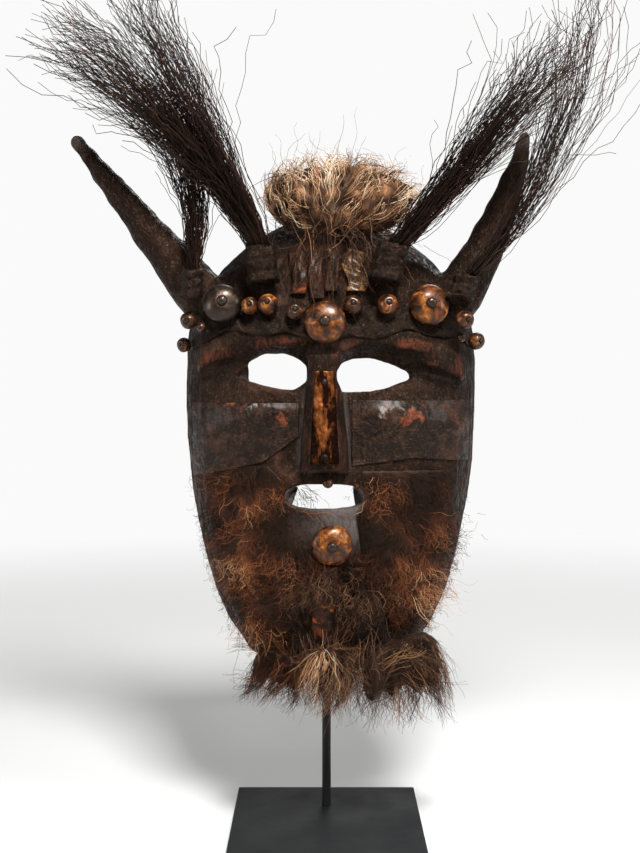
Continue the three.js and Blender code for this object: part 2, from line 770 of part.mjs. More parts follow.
// Hair: a lock's path turns from the lean at its root to the lean at its tip, in degrees.
function lockPath(root, rootLean, tipLean, ahead, length, steps) {
  const point = root.clone();
  const points = [point.clone()];
  for (let k = 1; k <= steps; k += 1) {
    const along = (k - 0.5) / steps;
    const lean = THREE.MathUtils.degToRad(mix(rootLean, tipLean, along ** 0.8));
    const tip = THREE.MathUtils.degToRad(ahead * Math.sin(along * 2));
    point.x += (Math.sin(lean) * Math.cos(tip) * length) / steps;
    point.y -= (Math.sin(tip) * length) / steps;
    point.z += (Math.cos(lean) * Math.cos(tip) * length) / steps;
    points.push(point.clone());
  }
  return points;
}

const bundlePlaces = [
  {
    name: 'left_outer', s: -0.915, t: 0.817, neck: 0.588, wrap: 0.75, wrapLean: 4, ahead: -12,
    rootLean: 8, tipLeans: [-48, -12], lengths: [0.625, 0.6], locks: 3,
  },
  {
    name: 'left_inner', s: -0.44, t: 0.847, neck: 0.912, wrap: 1, wrapLean: -5, ahead: 6,
    rootLean: -25, tipLeans: [-62, -18], lengths: [0.875, 0.8], locks: 5,
  },
  {
    name: 'right_inner', s: 0.34, t: 0.85, neck: 1, wrap: 1, wrapLean: 14, ahead: 6,
    rootLean: 42, tipLeans: [24, 44], lengths: [0.74, 0.77], locks: 5,
  },
  {
    name: 'right_outer', s: 0.83, t: 0.812, neck: 0.647, wrap: 0.75, wrapLean: 20, ahead: -4,
    rootLean: 42, tipLeans: [-2, 28], lengths: [1, 0.83], locks: 4,
  },
];

function leanVector(lean) {
  const angle = THREE.MathUtils.degToRad(lean);
  return new THREE.Vector3(Math.sin(angle), -0.08, Math.cos(angle)).normalize();
}

function wrapFrame(ground, place) {
  const axis = leanVector(place.wrapLean);
  const radius = (place.neck * hairNeck) / 2 + wrapThickness;
  const foot = onGround(ground, place.s, place.t, radius);
  const line = spread(4, (u) => foot.clone().addScaledVector(axis, u * place.wrap * wrapLength));
  const path = rolledOn(ground, line, radius);
  const top = path.at(-1);
  const along = top.clone().sub(path.at(-2)).normalize();
  return { along, radius, path, top };
}

// A wrap is wound leather: uneven turns outside, and a round seat for the hair at its top.
function wrap(place, { along, radius, path, top }) {
  const radii = path.map((_, k) => radius * (0.97 + 0.05 * Math.cos(k * 2.4) - 0.02 * k / path.length));
  const seatFoot = top.clone().addScaledVector(along, -wrapSeat);
  const seatTop = top.clone().addScaledVector(along, wrapSeat);
  const seat = bar(seatFoot, seatTop, place.neck * hairNeck + 2 * contactGap, 8);
  return tube(path, radii, 8).subtract(seat);
}

function hairBundle(place, { along, top }) {
  const seatFoot = top.clone().addScaledVector(along, contactGap - wrapSeat);
  const diameter = place.neck * hairNeck;
  const neck = bar(seatFoot, top.clone().addScaledVector(along, 0.06 * diameter), diameter, 8);
  const locks = spread(place.locks - 1, (u) => {
    const lean = mix(...place.tipLeans, u);
    const wave = Math.sin(u * place.locks * 2.6);
    const length = mix(...place.lengths, u) * hairLength;
    const path = lockPath(top, place.rootLean, lean, place.ahead + 6 * wave, length, 4);
    const girth = [0.4, 0.44, 0.4, 0.32, 0.12];
    return tube(path, girth.map((share) => share * diameter), 4);
  });
  return join([neck, ...locks]);
}

// The topknot: a lobed cushion of fur that sits over the crown.
function topknot(underneath) {
  const geometry = new THREE.SphereGeometry(1, 14, 8);
  const position = geometry.attributes.position;
  const centre = new THREE.Vector3(faceX(0.055), rimY - topknotDepth * 0.5, faceZ(1));
  centre.z += topknotHeight * 0.13;
  const half = new THREE.Vector3(topknotWidth, topknotHeight, topknotDepth).multiplyScalar(0.5);
  for (let k = 0; k < position.count; k += 1) {
    const point = new THREE.Vector3().fromBufferAttribute(position, k);
    const round = Math.atan2(point.z, point.x);
    const lobes = 1 + 0.1 * Math.sin(6 * round + 5 * point.y) * (1 - point.y * point.y);
    point.multiply(half).multiplyScalar(lobes);
    position.setXYZ(k, centre.x + point.x, centre.y - point.z, centre.z + point.y);
  }
  const cap = toManifold(geometry);
  const inFront = underneath.translate(0, -contactGap, 0);
  return cap.subtract(inFront).subtract(underneath.translate(0, 0, contactGap));
}

// A tuft at the chin: locks that hang from a row of roots, curling to one side.
function beard(ground, from, to, count, lengthShare, girthShare, curl) {
  const length = lengthShare * beardLength;
  const girth = girthShare * beardGirth;
  const rootAt = (u) => onGround(ground, mix(from[0], to[0], u), mix(from[1], to[1], u), girth);
  const roots = spread(3, rootAt);
  const seamRadii = roots.map(() => 0.6 * girth);
  const locks = spread(count - 1, (u) => {
    const wave = Math.sin(u * count * 2.3);
    const leans = [180 + curl * wave, 180 - curl * (u - 0.3)];
    const path = lockPath(rootAt(u), ...leans, 6 * wave, length * (1 + 0.2 * wave), 3);
    const radii = [0.7, 1.15, 0.95, 0.3].map((share) => share * girth);
    return tube(laidOn(ground, path, radii), radii, 4);
  });
  return join([tube(laidOn(ground, roots, seamRadii), seamRadii, 4), ...locks]);
}

// Stand.

function basePlate() {
  const corners = [[-1, -1], [1, -1], [1, 1], [-1, 1]];
  const shape = new THREE.Shape(corners.map(([x, y]) => {
    return new THREE.Vector2(x * (plateWidth / 2 - plateChamfer), y * (plateDepth / 2 - plateChamfer));
  }));
  const depth = plateThickness - 2 * plateChamfer;
  const bevel = { bevelSegments: 1, bevelSize: plateChamfer, bevelThickness: plateChamfer };
  const geometry = new THREE.ExtrudeGeometry(shape, { depth, ...bevel });
  geometry.translate(0, 0, plateChamfer);
  const socketFoot = new THREE.Vector3(0, rodSetBack, plateThickness - rodSocketDepth);
  const socketTop = socketFoot.clone().setZ(2 * plateThickness);
  return toManifold(geometry).subtract(bar(socketFoot, socketTop, rodDiameter + 2 * contactGap, 12));
}

function standRod() {
  const bendSteps = 5;
  const points = [new THREE.Vector3(0, rodSetBack, plateThickness - rodSocketDepth + contactGap)];
  for (let k = 0; k <= bendSteps; k += 1) {
    const angle = (k / bendSteps) * (Math.PI / 2);
    const y = rodSetBack - rodBendRadius * (1 - Math.cos(angle));
    const z = padZ - rodBendRadius * (1 - Math.sin(angle));
    points.push(new THREE.Vector3(0, y, z));
  }
  const padY = padSeatY + contactGap + padThickness / 2;
  points.push(new THREE.Vector3(0, padY, padZ));
  const pad = new THREE.BoxGeometry(padWidth, padThickness, padHeight);
  pad.translate(0, padY, padZ);
  const rod = tube(points, points.map(() => rodDiameter / 2), 10);
  return join([rod, toManifold(pad)]).subtract(join(screwPlaces.map(([, z]) => screwHole(z))));
}

// The copper strip down the nose.
function noseStrip() {
  const stations = spread(3, (v) => mix(0.478, 0.665, v));
  const across = (t) => noseHalf(t) * stripWidthShare;
  const layer = (proud) => stations.map((t) => spread(2, (u) => {
    return onNose(t, proud).add(new THREE.Vector3(mix(-1, 1, u) * across(t), 0, 0));
  }));
  const strip = slab(layer(contactGap + stripThickness), layer(contactGap));
  return strip.subtract(join(nailPlaces.map(([, t]) => nailHole(t))));
}

// Assembly.

// Each trimming rests on what lies under it, so the pieces build up in the order that they were put on.
const bare = groundOf(uncutWood);
const leftHide = hidePatch(
  bare, [7, 4], -0.94, -0.215, () => 0.6, profile([[-0.955, 0.44], [-0.45, 0.477], [-0.215, 0.53]]),
  (s, t) => 1.1 * bump((s + 0.54) / 0.1, (t - 0.575) / 0.025) * (1 + Math.sin(75 * s)),
);
const rightHide = hidePatch(
  bare, [7, 4], 0.135, 0.94, () => 0.606, profile([[0.135, 0.47], [0.55, 0.485], [0.955, 0.475]]),
  (s, t) => 0.9 * bump((s - 0.55) / 0.12, (t - 0.575) / 0.03) * (1 + Math.sin(60 * s + 20 * t)),
);
const cheeks = groundOf(uncutWood, leftHide, rightHide);
const leftFur = cheekFur(
  cheeks, -1,
  profile([
    [0.085, -0.5], [0.126, -0.62], [0.18, -0.72], [0.27, -0.8], [0.355, -0.86], [0.41, -0.85], [0.47, -0.62],
  ]),
  profile([
    [0.085, -0.36], [0.126, -0.26], [0.18, -0.2], [0.27, -0.22], [0.355, -0.3], [0.41, -0.22], [0.47, -0.42],
  ]),
  0.085, 0.47,
);
const rightFur = cheekFur(
  cheeks, 1,
  profile([
    [0.083, 0.46], [0.12, 0.4], [0.19, 0.27], [0.27, 0.2], [0.355, 0.165], [0.41, 0.15], [0.46, 0.2],
  ]),
  profile([
    [0.083, 0.6], [0.12, 0.66], [0.19, 0.75], [0.27, 0.83], [0.355, 0.87], [0.41, 0.87], [0.46, 0.8],
  ]),
  0.083, 0.46,
);
const furred = groundOf(uncutWood, leftHide, rightHide, leftFur, rightFur);
const strips = [
  ['left', chinStrip(furred, [-0.25, 0.2], [-0.2, 0.06], 0.32, 0.46, 0.4)],
  ['centre', chinStrip(furred, [-0.04, 0.262], [-0.04, 0.03], 0.46, 0.54, 1.7)],
  ['right', chinStrip(furred, [0.17, 0.262], [0.32, 0.045], 0.43, 1, 3.1)],
];
const chin = groundOf(uncutWood, leftFur, rightFur, ...strips.map(([, strip]) => strip));
const band = headband(bare);
const banded = groundOf(uncutWood, band);
const foreheadHide = hidePatch(
  banded, [5, 4], -0.3, 0.07, (s) => 0.925 - 0.05 * s, () => 0.815,
  (s, t) => 0.8 * Math.sin(38 * s + 30 * t),
);
const foreheadFold = hidePatch(
  banded, [3, 4], 0.09, 0.22, (s) => 0.93 - 0.1 * s, () => 0.83,
  (s, t) => 2 + 1.2 * Math.sin(60 * s + 45 * t),
);
const dressed = groundOf(uncutWood, band, foreheadHide, foreheadFold);
const bosses = bossPlaces.map((place) => {
  const ground = place.t > 0.5 ? dressed : bare;
  return { place, seat: bossSeat(ground, place) };
});

const holes = join([
  hollowBody(),
  padSeat(),
  eyeCut(-1),
  eyeCut(1),
  prism(mouthOutline(), aheadOfFace, behindRim),
  ...screwPlaces.map(([, z]) => screwHole(z)),
  ...nailPlaces.map(([, t]) => nailHole(t)),
  ...bosses.map(({ seat }) => pinHole(seat)),
]);

addPiece('base_plate', basePlate(), steel);
addPiece('stand_rod', standRod(), steel);
for (const [end, z] of screwPlaces) addPiece(`stand_screw_${end}`, screw(z), steel);
addPiece('mask', uncutWood.subtract(holes), woodLook);
addPiece('nose_strip', noseStrip(), copper);
for (const [end, t] of nailPlaces) addPiece(`nose_nail_${end}`, nail(t), steel);
addPiece('hide_left', leftHide, hide);
addPiece('hide_right', rightHide, hide);
addPiece('headband', band.subtract(join(bosses.map(({ seat }) => pinHole(seat)))), leather);
addPiece('forehead_hide', foreheadHide, hide);
addPiece('forehead_fold', foreheadFold, paleHide);
for (const { place, seat } of bosses) {
  addPiece(place.name, boss(place, seat), place.look);
  addPiece(place.name.replace('boss', 'pin'), pin(seat), darkAmber);
}
beadPlaces.forEach(({ s, t, size }, k) => {
  const diameter = size * beadDiameter;
  addPiece(`brow_bead_${k + 1}`, bead(diameter, beadSeat(dressed, s, t, diameter)), amber);
});
const lipSeat = beadSeat(bare, noseShare + 0.02, 0.44, lipBeadDiameter);
addPiece('lip_bead', bead(lipBeadDiameter, lipSeat), amber);
for (const place of bundlePlaces) {
  const frame = wrapFrame(dressed, place);
  addPiece(`wrap_${place.name}`, wrap(place, frame), leather);
  addPiece(`hair_${place.name}`, hairBundle(place, frame), horsehair);
}
addPiece('topknot', topknot(join([uncutWood, foreheadHide, foreheadFold])), paleFur);
addPiece('cheek_fur_left', leftFur, fur);
addPiece('cheek_fur_right', rightFur, fur);
for (const [end, strip] of strips) addPiece(`chin_strip_${end}`, strip, leather);
addPiece('beard_left', beard(chin, [-0.46, 0.075], [-0.26, 0.06], 3, 0.59, 0.765, 12), fur);
addPiece('beard_centre', beard(chin, [-0.09, 0.08], [0.09, 0.07], 3, 0.78, 0.706, -8), paleFur);
addPiece('beard_right', beard(chin, [0.3, 0.07], [0.64, 0.11], 4, 1, 1, 22), paleFur);

export default group;
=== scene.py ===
# %% [markdown]
# # A shaman's horned dance mask, dressed for its portrait
# The real object is a carved wooden face with two horns, darkened by smoke and handling. Hide is glued over
# its cheeks, goat's fur hangs from its jaw, horsehair stands up from leather wraps, and lacquered bosses
# run along its brow. A steel rod on a steel plate holds it up.
# The solid model already gives every piece its place. This lesson gives each piece its surface, in metres,
# in the same frame, so that nothing slides away from the solids that it stands for.

# %% Frame
import math

import bpy
import numpy as np
from mathutils import Matrix, Vector, noise
from mathutils.bvhtree import BVHTree


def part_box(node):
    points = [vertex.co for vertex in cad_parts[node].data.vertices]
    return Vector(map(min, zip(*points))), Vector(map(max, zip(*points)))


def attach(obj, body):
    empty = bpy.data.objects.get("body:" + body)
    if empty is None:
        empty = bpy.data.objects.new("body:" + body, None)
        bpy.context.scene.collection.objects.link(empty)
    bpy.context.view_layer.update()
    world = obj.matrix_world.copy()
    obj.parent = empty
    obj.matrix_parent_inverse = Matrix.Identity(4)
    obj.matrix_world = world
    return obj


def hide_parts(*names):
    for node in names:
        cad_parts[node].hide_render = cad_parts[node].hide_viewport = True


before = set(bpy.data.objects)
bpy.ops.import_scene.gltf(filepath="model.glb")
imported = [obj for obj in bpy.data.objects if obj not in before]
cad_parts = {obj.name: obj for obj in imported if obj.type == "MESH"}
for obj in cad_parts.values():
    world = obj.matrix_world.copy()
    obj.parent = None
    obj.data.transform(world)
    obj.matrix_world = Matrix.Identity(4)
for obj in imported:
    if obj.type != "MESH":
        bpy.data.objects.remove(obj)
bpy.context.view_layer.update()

# %% [markdown]
# The camera stands where the photographer stood: level with the mask's nose, a little above the middle, and
# tipped down by less than three degrees. Its lens comes from how fast the plate narrows towards the back.

# %% Camera
MM = 0.001
PHOTO_LENS = 48.5
PHOTO_PLACE = (-4.5 * MM, -758.3 * MM, 307.4 * MM)
PHOTO_TIP = 2.614

camera_data = bpy.data.cameras.new("photo_camera")
camera_data.lens = PHOTO_LENS
camera_data.sensor_width = 36
camera = bpy.data.objects.new("photo_camera", camera_data)
bpy.context.scene.collection.objects.link(camera)
camera.location = PHOTO_PLACE
camera.rotation_euler = (math.radians(90 - PHOTO_TIP), 0, 0)
bpy.context.scene.camera = camera

# %% [markdown]
# Small helpers come next. Each does one thing that a maker does by hand: select one piece, apply one
# modifier, copy a solid so that it can be worked on, or read how far the surface stands forward.

# %% Helpers for pieces


def select_only(piece):
    """Deselects everything, then selects and activates one piece."""
    bpy.ops.object.select_all(action="DESELECT")
    piece.hide_set(False)
    piece.select_set(True)
    bpy.context.view_layer.objects.active = piece


def apply_modifier(piece, kind, **settings):
    """Adds one modifier with its settings and applies it."""
    select_only(piece)
    modifier = piece.modifiers.new(kind.lower(), kind)
    for key, value in settings.items():
        setattr(modifier, key, value)
    bpy.ops.object.modifier_apply(modifier=modifier.name)


def points_of(piece):
    """The vertices of a piece as an array of places."""
    places = np.zeros(len(piece.data.vertices) * 3)
    piece.data.vertices.foreach_get("co", places)
    return places.reshape(-1, 3)


def normals_of(piece):
    """The vertex normals of a piece as an array."""
    normals = np.zeros(len(piece.data.vertices) * 3)
    piece.data.vertices.foreach_get("normal", normals)
    return normals.reshape(-1, 3)


def move_points(piece, places):
    """Puts the vertices of a piece at new places."""
    piece.data.vertices.foreach_set("co", np.asarray(places, dtype=np.float64).ravel())
    piece.data.update()


def set_attribute(piece, name, values):
    """Stores one number for each vertex, for a material to read."""
    layer = piece.data.attributes.get(name) or piece.data.attributes.new(name, "FLOAT", "POINT")
    layer.data.foreach_set("value", np.asarray(values, dtype=np.float32))


def cad_copy(node, name):
    """A merged copy of a solid, at the same place, ready to be worked on."""
    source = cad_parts[node]
    piece = bpy.data.objects.new(name, source.data.copy())
    piece.data.name = name
    bpy.context.scene.collection.objects.link(piece)
    piece.data.materials.clear()
    select_only(piece)
    bpy.ops.object.mode_set(mode="EDIT")
    bpy.ops.mesh.select_all(action="SELECT")
    bpy.ops.mesh.remove_doubles(threshold=1e-5)
    bpy.ops.object.mode_set(mode="OBJECT")
    return piece


def remesh(piece, voxel):
    """Rebuilds a piece with an even skin of small faces."""
    select_only(piece)
    piece.data.remesh_voxel_size = voxel
    piece.data.remesh_voxel_adaptivity = 0
    bpy.ops.object.voxel_remesh()


def finish_piece(piece, material, slot, *nodes):
    """Gives a piece its finish, its body and the solids that it stands for. The slot is not used."""
    piece.data.materials.clear()
    piece.data.materials.append(material)
    piece.data.polygons.foreach_set("use_smooth", [True] * len(piece.data.polygons))
    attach(piece, "root")
    if nodes:
        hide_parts(*nodes)
    triangles = sum(len(face.vertices) - 2 for face in piece.data.polygons)
    print(piece.name, triangles, "triangles")
    return piece


def lumps(places, size, seed, stretch=(1, 1, 1)):
    """Soft noise from -1 to 1 at each place, whose lumps measure about `size`."""
    shift = Vector((seed * 7.31, seed * 3.77, seed * 5.13))
    scaled = places * (np.array(stretch) / size)
    return np.array([noise.noise(Vector(place) + shift) for place in scaled])


def smooth_step(start, end, values):
    """0 before start, 1 after end, and a smooth rise between them."""
    share = np.clip((values - start) / (end - start), 0, 1)
    return share * share * (3 - 2 * share)


# %% [markdown]
# The places of the trimmings on the face are shares, as in the solid model: s runs from -1 to 1 across the
# half width and t from the chin at 0 to the crown at 1.

# %% Shares of the face
HALF_WIDTH = 98 * MM
FACE_HEIGHT = 310 * MM
FACE_MIDDLE = 2.8 * MM
CHIN = 103 * MM
RIM = 22 * MM


def face_x(s):
    return FACE_MIDDLE + np.asarray(s) * HALF_WIDTH


def face_z(t):
    return CHIN + np.asarray(t) * FACE_HEIGHT


def through(pairs):
    """A line through pairs of a place and a value."""
    places, values = zip(*pairs)
    return lambda place: np.interp(place, places, values)


def front_map(*pieces):
    """How far forward the pieces stand, read by rays from the front on a fine grid."""
    pitch = 1.5 * MM
    across = np.arange(-130 * MM, 140 * MM, pitch)
    upward = np.arange(60 * MM, 480 * MM, pitch)
    depths = np.full((len(upward), len(across)), RIM)
    graph = bpy.context.evaluated_depsgraph_get()
    for piece in pieces:
        tree = BVHTree.FromObject(piece, graph)
        for i, z in enumerate(upward):
            for j, x in enumerate(across):
                hit = tree.ray_cast(Vector((x, -0.2, z)), Vector((0, 1, 0)), 0.3)[0]
                if hit is not None:
                    depths[i, j] = min(depths[i, j], hit.y)

    def read(x, z):
        column = np.clip((np.asarray(x) - across[0]) / pitch, 0, len(across) - 1.001)
        row = np.clip((np.asarray(z) - upward[0]) / pitch, 0, len(upward) - 1.001)
        j, i = column.astype(int), row.astype(int)
        u, v = column - j, row - i
        low = depths[i, j] * (1 - u) + depths[i, j + 1] * u
        high = depths[i + 1, j] * (1 - u) + depths[i + 1, j + 1] * u
        return low * (1 - v) + high * v

    return read


# %% [markdown]
# Materials are built from nodes. A colour is typed as the sRGB value that one would pick from a swatch and
# turned to linear by one function. A pattern's scale comes from the real size of its grain: noise at scale
# 1000 / 4 has lumps of 4 mm on Object coordinates, which are metres.

# %% Helpers for materials


def colour(code):
    """An sRGB hex value as the linear colour that a shader expects."""
    parts = [int(code[k:k + 2], 16) / 255 for k in (1, 3, 5)]
    return tuple(c / 12.92 if c <= 0.04045 else ((c + 0.055) / 1.055) ** 2.4 for c in parts) + (1,)


def per_mm(size):
    """The scale of a pattern whose features measure `size` millimetres."""
    return 1000 / size


def add(tree, kind, settings=None, inputs=None):
    """Adds one node with its settings; an input takes a value or another node's output."""
    node = tree.nodes.new(kind)
    for key, value in (settings or {}).items():
        if key == "stops":
            for k, (place, shade) in enumerate(value):
                stop = node.color_ramp.elements[k] if k < 2 else node.color_ramp.elements.new(place)
                stop.position, stop.color = place, colour(shade) if isinstance(shade, str) else shade
        else:
            setattr(node, key, value)
    for key, value in (inputs or {}).items():
        if isinstance(value, bpy.types.NodeSocket):
            tree.links.new(value, node.inputs[key])
        else:
            node.inputs[key].default_value = value
    return node


def noise_node(tree, place, size, detail, **more):
    """Noise whose lumps measure `size` millimetres."""
    inputs = {"Vector": place, "Scale": per_mm(size), "Detail": detail, **more}
    return add(tree, "ShaderNodeTexNoise", inputs=inputs).outputs["Fac"]


def ramp(tree, stops, share):
    """The colour at a place on a ramp."""
    return add(tree, "ShaderNodeValToRGB", {"stops": stops}, {"Fac": share}).outputs["Color"]


def painted(tree, name):
    """The value of an attribute of the mesh."""
    return add(tree, "ShaderNodeAttribute", {"attribute_name": name}).outputs["Fac"]


def remap(tree, value, low, high, to_low=0, to_high=1):
    """A value moved from one range to another."""
    inputs = {"Value": value, "From Min": low, "From Max": high, "To Min": to_low, "To Max": to_high}
    return add(tree, "ShaderNodeMapRange", inputs=inputs).outputs["Result"]


def blend(tree, share, under, over):
    """One colour over another."""
    return add(tree, "ShaderNodeMix", {"data_type": "RGBA"}, {0: share, 6: under, 7: over}).outputs[2]


def scale_and_add(tree, value, factor, more):
    """A value times a factor, plus another value."""
    return add(tree, "ShaderNodeMath", {"operation": "MULTIPLY_ADD"},
               {0: value, 1: factor, 2: more}).outputs["Value"]


def bump(tree, height, strength, depth, **under):
    """Bump at most `depth` millimetres deep, over another bump's Normal if there is one."""
    inputs = {"Height": height, "Strength": strength, "Distance": depth * MM, **under}
    return add(tree, "ShaderNodeBump", inputs=inputs).outputs["Normal"]


def new_material(name, **sockets):
    """A new node material: its tree, its shader and its Object coordinates."""
    material = bpy.data.materials.new(name)
    material.use_nodes = True
    tree = material.node_tree
    shader = tree.nodes["Principled BSDF"]
    for key, value in sockets.items():
        shader.inputs[key.replace("_", " ")].default_value = value
    place = add(tree, "ShaderNodeTexCoord").outputs["Object"]
    return material, tree, shader, place


def connect(tree, shader, **outputs):
    """Links outputs to the shader's sockets."""
    for key, output in outputs.items():
        tree.links.new(output, shader.inputs[key.replace("_", " ")])


# %% [markdown]
# The stand is mild steel with a matt black powder coat. The powder melts into a skin with a faint orange
# peel, so it is neither mirror nor chalk: mid roughness with lumps of about 1.2 mm, drawn coarser than
# the real 0.5 mm so that they show.

# %% Black powder-coated steel
powder_coated_steel, tree, shader, place = new_material(
    "powder_coated_steel", Metallic=0, IOR=1.5, Specular_IOR_Level=0.25)
peel = noise_node(tree, place, 1.2, 2)
dust_and_sheen = noise_node(tree, place, 35, 4)
skin = ramp(tree, [(0.35, "#060708"), (0.8, "#0e0f11")], dust_and_sheen)
sheen = remap(tree, dust_and_sheen, 0.3, 0.75, 0.5, 0.75)
bumps = bump(tree, peel, 0.25, 0.1)
connect(tree, shader, Base_Color=skin, Roughness=sheen, Normal=bumps)

# %% [markdown]
# The wood was carved with a knife, blackened over a hearth and then rubbed by hands for years. Soot and
# grease give a near-black brown with a dull gloss; edges and high places are rubbed back to red-brown, and
# hollows keep grey dust. Both come from attributes that are worked out from the carved shape itself. These
# attributes also carry painted light: a warm painted sheen along the brow ridge and a grey painted sheen on
# the chin. Fine light specks are painted glints.

# %% Smoked carved wood
WARM_SHEEN = colour("#c9a184")
SOOT_STOPS = [(0.3, "#040303"), (0.76, "#4a2f21"), (0.48, "#090605"), (0.57, "#1a100c"), (0.66, "#33201a")]

smoked_wood, tree, shader, place = new_material(
    "smoked_carved_wood", Metallic=0, IOR=1.48, Specular_IOR_Level=0.3, Specular_Tint=WARM_SHEEN)
grain_place = add(tree, "ShaderNodeMapping", inputs={"Vector": place, "Scale": (1, 1, 0.3)})
patches = noise_node(tree, place, 26, 8, Roughness=0.68, Distortion=0.5)
grain = noise_node(tree, grain_place.outputs["Vector"], 2.2, 5, Roughness=0.65)
soot = ramp(tree, SOOT_STOPS, patches)
# The wear attribute also carries a warm painted sheen along the brow ridge.
wear_and_sheen = painted(tree, "wear_and_sheen")
rubbing_and_sheen = scale_and_add(tree, grain, 1.5, wear_and_sheen)
rubbed_and_sheen = remap(tree, rubbing_and_sheen, 0.95, 1.7)
warm = blend(tree, rubbed_and_sheen, soot, colour("#4d2417"))
# Fine light specks: painted glints of the rough surface.
specks = noise_node(tree, place, 1.7, 4, Roughness=0.7)
painted_glint_share = remap(tree, specks, 0.56, 0.74, 0, 0.45)
with_painted_glints = blend(tree, painted_glint_share, warm, colour("#6b4b39"))
# The dust attribute also carries a grey painted sheen round the chin.
dust_and_sheen = painted(tree, "dust_and_sheen")
dust_and_sheen_share = add(tree, "ShaderNodeMath", {"operation": "MULTIPLY"},
              {0: dust_and_sheen, 1: grain})
with_dust_and_sheen = blend(tree, dust_and_sheen_share.outputs["Value"], with_painted_glints, colour("#6f6764"))
gloss = remap(tree, grain, 0.45, 0.62, 0.78, 0.25)
pores = bump(tree, grain, 0.9, 1.1)
rises = bump(tree, patches, 0.5, 5, Normal=pores)
connect(tree, shader, Base_Color=with_dust_and_sheen, Roughness=gloss, Normal=rises)

# %% [markdown]
# Four leathers share one recipe and differ in colour, gloss and crease: the hide glued on the cheeks is thin
# and varnished, the forehead's thongs are amber, the fold beside them is pale gold, and the wraps and bands
# are dry dark leather. Creases are noise, and pores of about 0.9 mm lie over them. Rubbed places show the
# light colour in broken patches; on the cheeks some of these are painted orange highlights. Pale grey
# patches are painted highlights, and fine light specks are painted glints.

# %% Hides and leather


def leather_material(name, shades, glint_colour, patch_mm, gloss_range, crease_mm, crease_depth, coat_weight):
    """A leather: mottled colour from dark to light, mottled gloss, creases, pores, painted glints and
    highlights.
    """
    dark, middle, light = shades
    material, tree, shader, place = new_material(
        name, Metallic=0, IOR=1.5, Specular_IOR_Level=0.32, Specular_Tint=WARM_SHEEN, Coat_Weight=coat_weight,
        Coat_Roughness=0.25)
    warp = noise_node(tree, place, patch_mm, 8, Roughness=0.7, Distortion=0.6)
    mottled = ramp(tree, [(0.3, dark), (0.8, light), (0.48, dark), (0.62, middle)], warp)
    creases = noise_node(tree, place, crease_mm, 5, Roughness=0.6, Distortion=1.2)
    specks = noise_node(tree, place, 1.6, 4, Roughness=0.7)
    # The wear attribute also carries painted orange highlights on the cheek hides.
    wear_and_sheen = painted(tree, "wear_and_sheen")
    wearing = scale_and_add(tree, specks, 1.8, wear_and_sheen)
    broken = remap(tree, wearing, 1.2, 1.9)
    worn = blend(tree, broken, mottled, colour(light))
    # Fine light specks in the glint colour: painted glints.
    painted_glint_share = remap(tree, specks, 0.55, 0.75, 0, 0.5)
    with_painted_glints = blend(tree, painted_glint_share, worn, colour(glint_colour))
    # Pale grey patches: painted highlights.
    painted_highlights = painted(tree, "painted_highlight")
    painted_highlight_sum = scale_and_add(tree, creases, 1.2, painted_highlights)
    painted_highlight_share = remap(tree, painted_highlight_sum, 1.1, 1.5)
    with_painted_highlights = blend(tree, painted_highlight_share, with_painted_glints, colour("#a39a96"))
    gloss = remap(tree, creases, 0.35, 0.65, gloss_range[0], gloss_range[1])
    pebble = add(tree, "ShaderNodeTexVoronoi", inputs={"Vector": place, "Scale": per_mm(0.9)})
    low = bump(tree, creases, 0.9, crease_depth)
    high = bump(tree, pebble.outputs["Distance"], 0.3, 0.2, Normal=low)
    connect(tree, shader, Base_Color=with_painted_highlights, Roughness=gloss, Normal=high)
    return material


varnished_hide = leather_material(
    "varnished_hide", ("#080606", "#302019", "#7a3a20"), "#5f4538", 15, (0.8, 0.22), 6, 2.2, 0.1)
amber_hide = leather_material(
    "amber_hide", ("#0c0605", "#3c170b", "#a5501f"), "#7d4527", 9, (0.6, 0.35), 4, 1.6, 0.1)
pale_fold = leather_material(
    "varnished_pale_hide", ("#2a1a0e", "#7a5226", "#d9bd80"), "#c9a468", 6, (0.5, 0.22), 4, 1.2, 0.3)
dry_leather = leather_material(
    "dry_leather", ("#060505", "#140e0b", "#3e271b"), "#4f4038", 11, (0.85, 0.3), 5, 3, 0)

# %% [markdown]
# The bosses and beads are turned knobs under a thick amber lacquer. Where the lacquer is whole it glows
# orange and gold, and where it is smoked or worn it is dark brown; it stays glossy, with fine pits.

# %% Lacquers


def lacquer_material(name, dark, middle, light, patch_mm):
    """A lacquer: patches from smoked to golden, fine pits, and a dark wooden peg where `peg` is 1."""
    material, tree, shader, place = new_material(
        name, Metallic=0, IOR=1.53, Specular_Tint=WARM_SHEEN, Coat_Weight=0.25, Coat_Roughness=0.2)
    smoke = noise_node(tree, place, patch_mm, 7, Roughness=0.68, Distortion=0.8)
    shades = ramp(tree, [(0.42, dark), (0.76, light), (0.55, middle)], smoke)
    peg = painted(tree, "peg")
    pegged = blend(tree, peg, shades, colour("#0e0a08"))
    pits = noise_node(tree, place, 1.8, 4)
    gloss = remap(tree, pits, 0.35, 0.7, 0.28, 0.6)
    bumps = bump(tree, pits, 0.6, 0.4)
    connect(tree, shader, Base_Color=pegged, Roughness=gloss, Normal=bumps)
    return material


amber_lacquer = lacquer_material("amber_lacquer", "#0f0705", "#582a0c", "#c08330", 8)
brown_lacquer = lacquer_material("brown_lacquer", "#0b0605", "#331a0b", "#8f5526", 6)
dark_lacquer = lacquer_material("dark_lacquer", "#080706", "#14100e", "#33251f", 9)

# %% [markdown]
# The strip on the nose is sheet copper that has been hammered and smoked: metal, so its colour is in the
# reflection, with brown oxide patches that are rougher and a dark rim that no hand rubs. The nails are
# black forged iron.

# %% Copper and iron


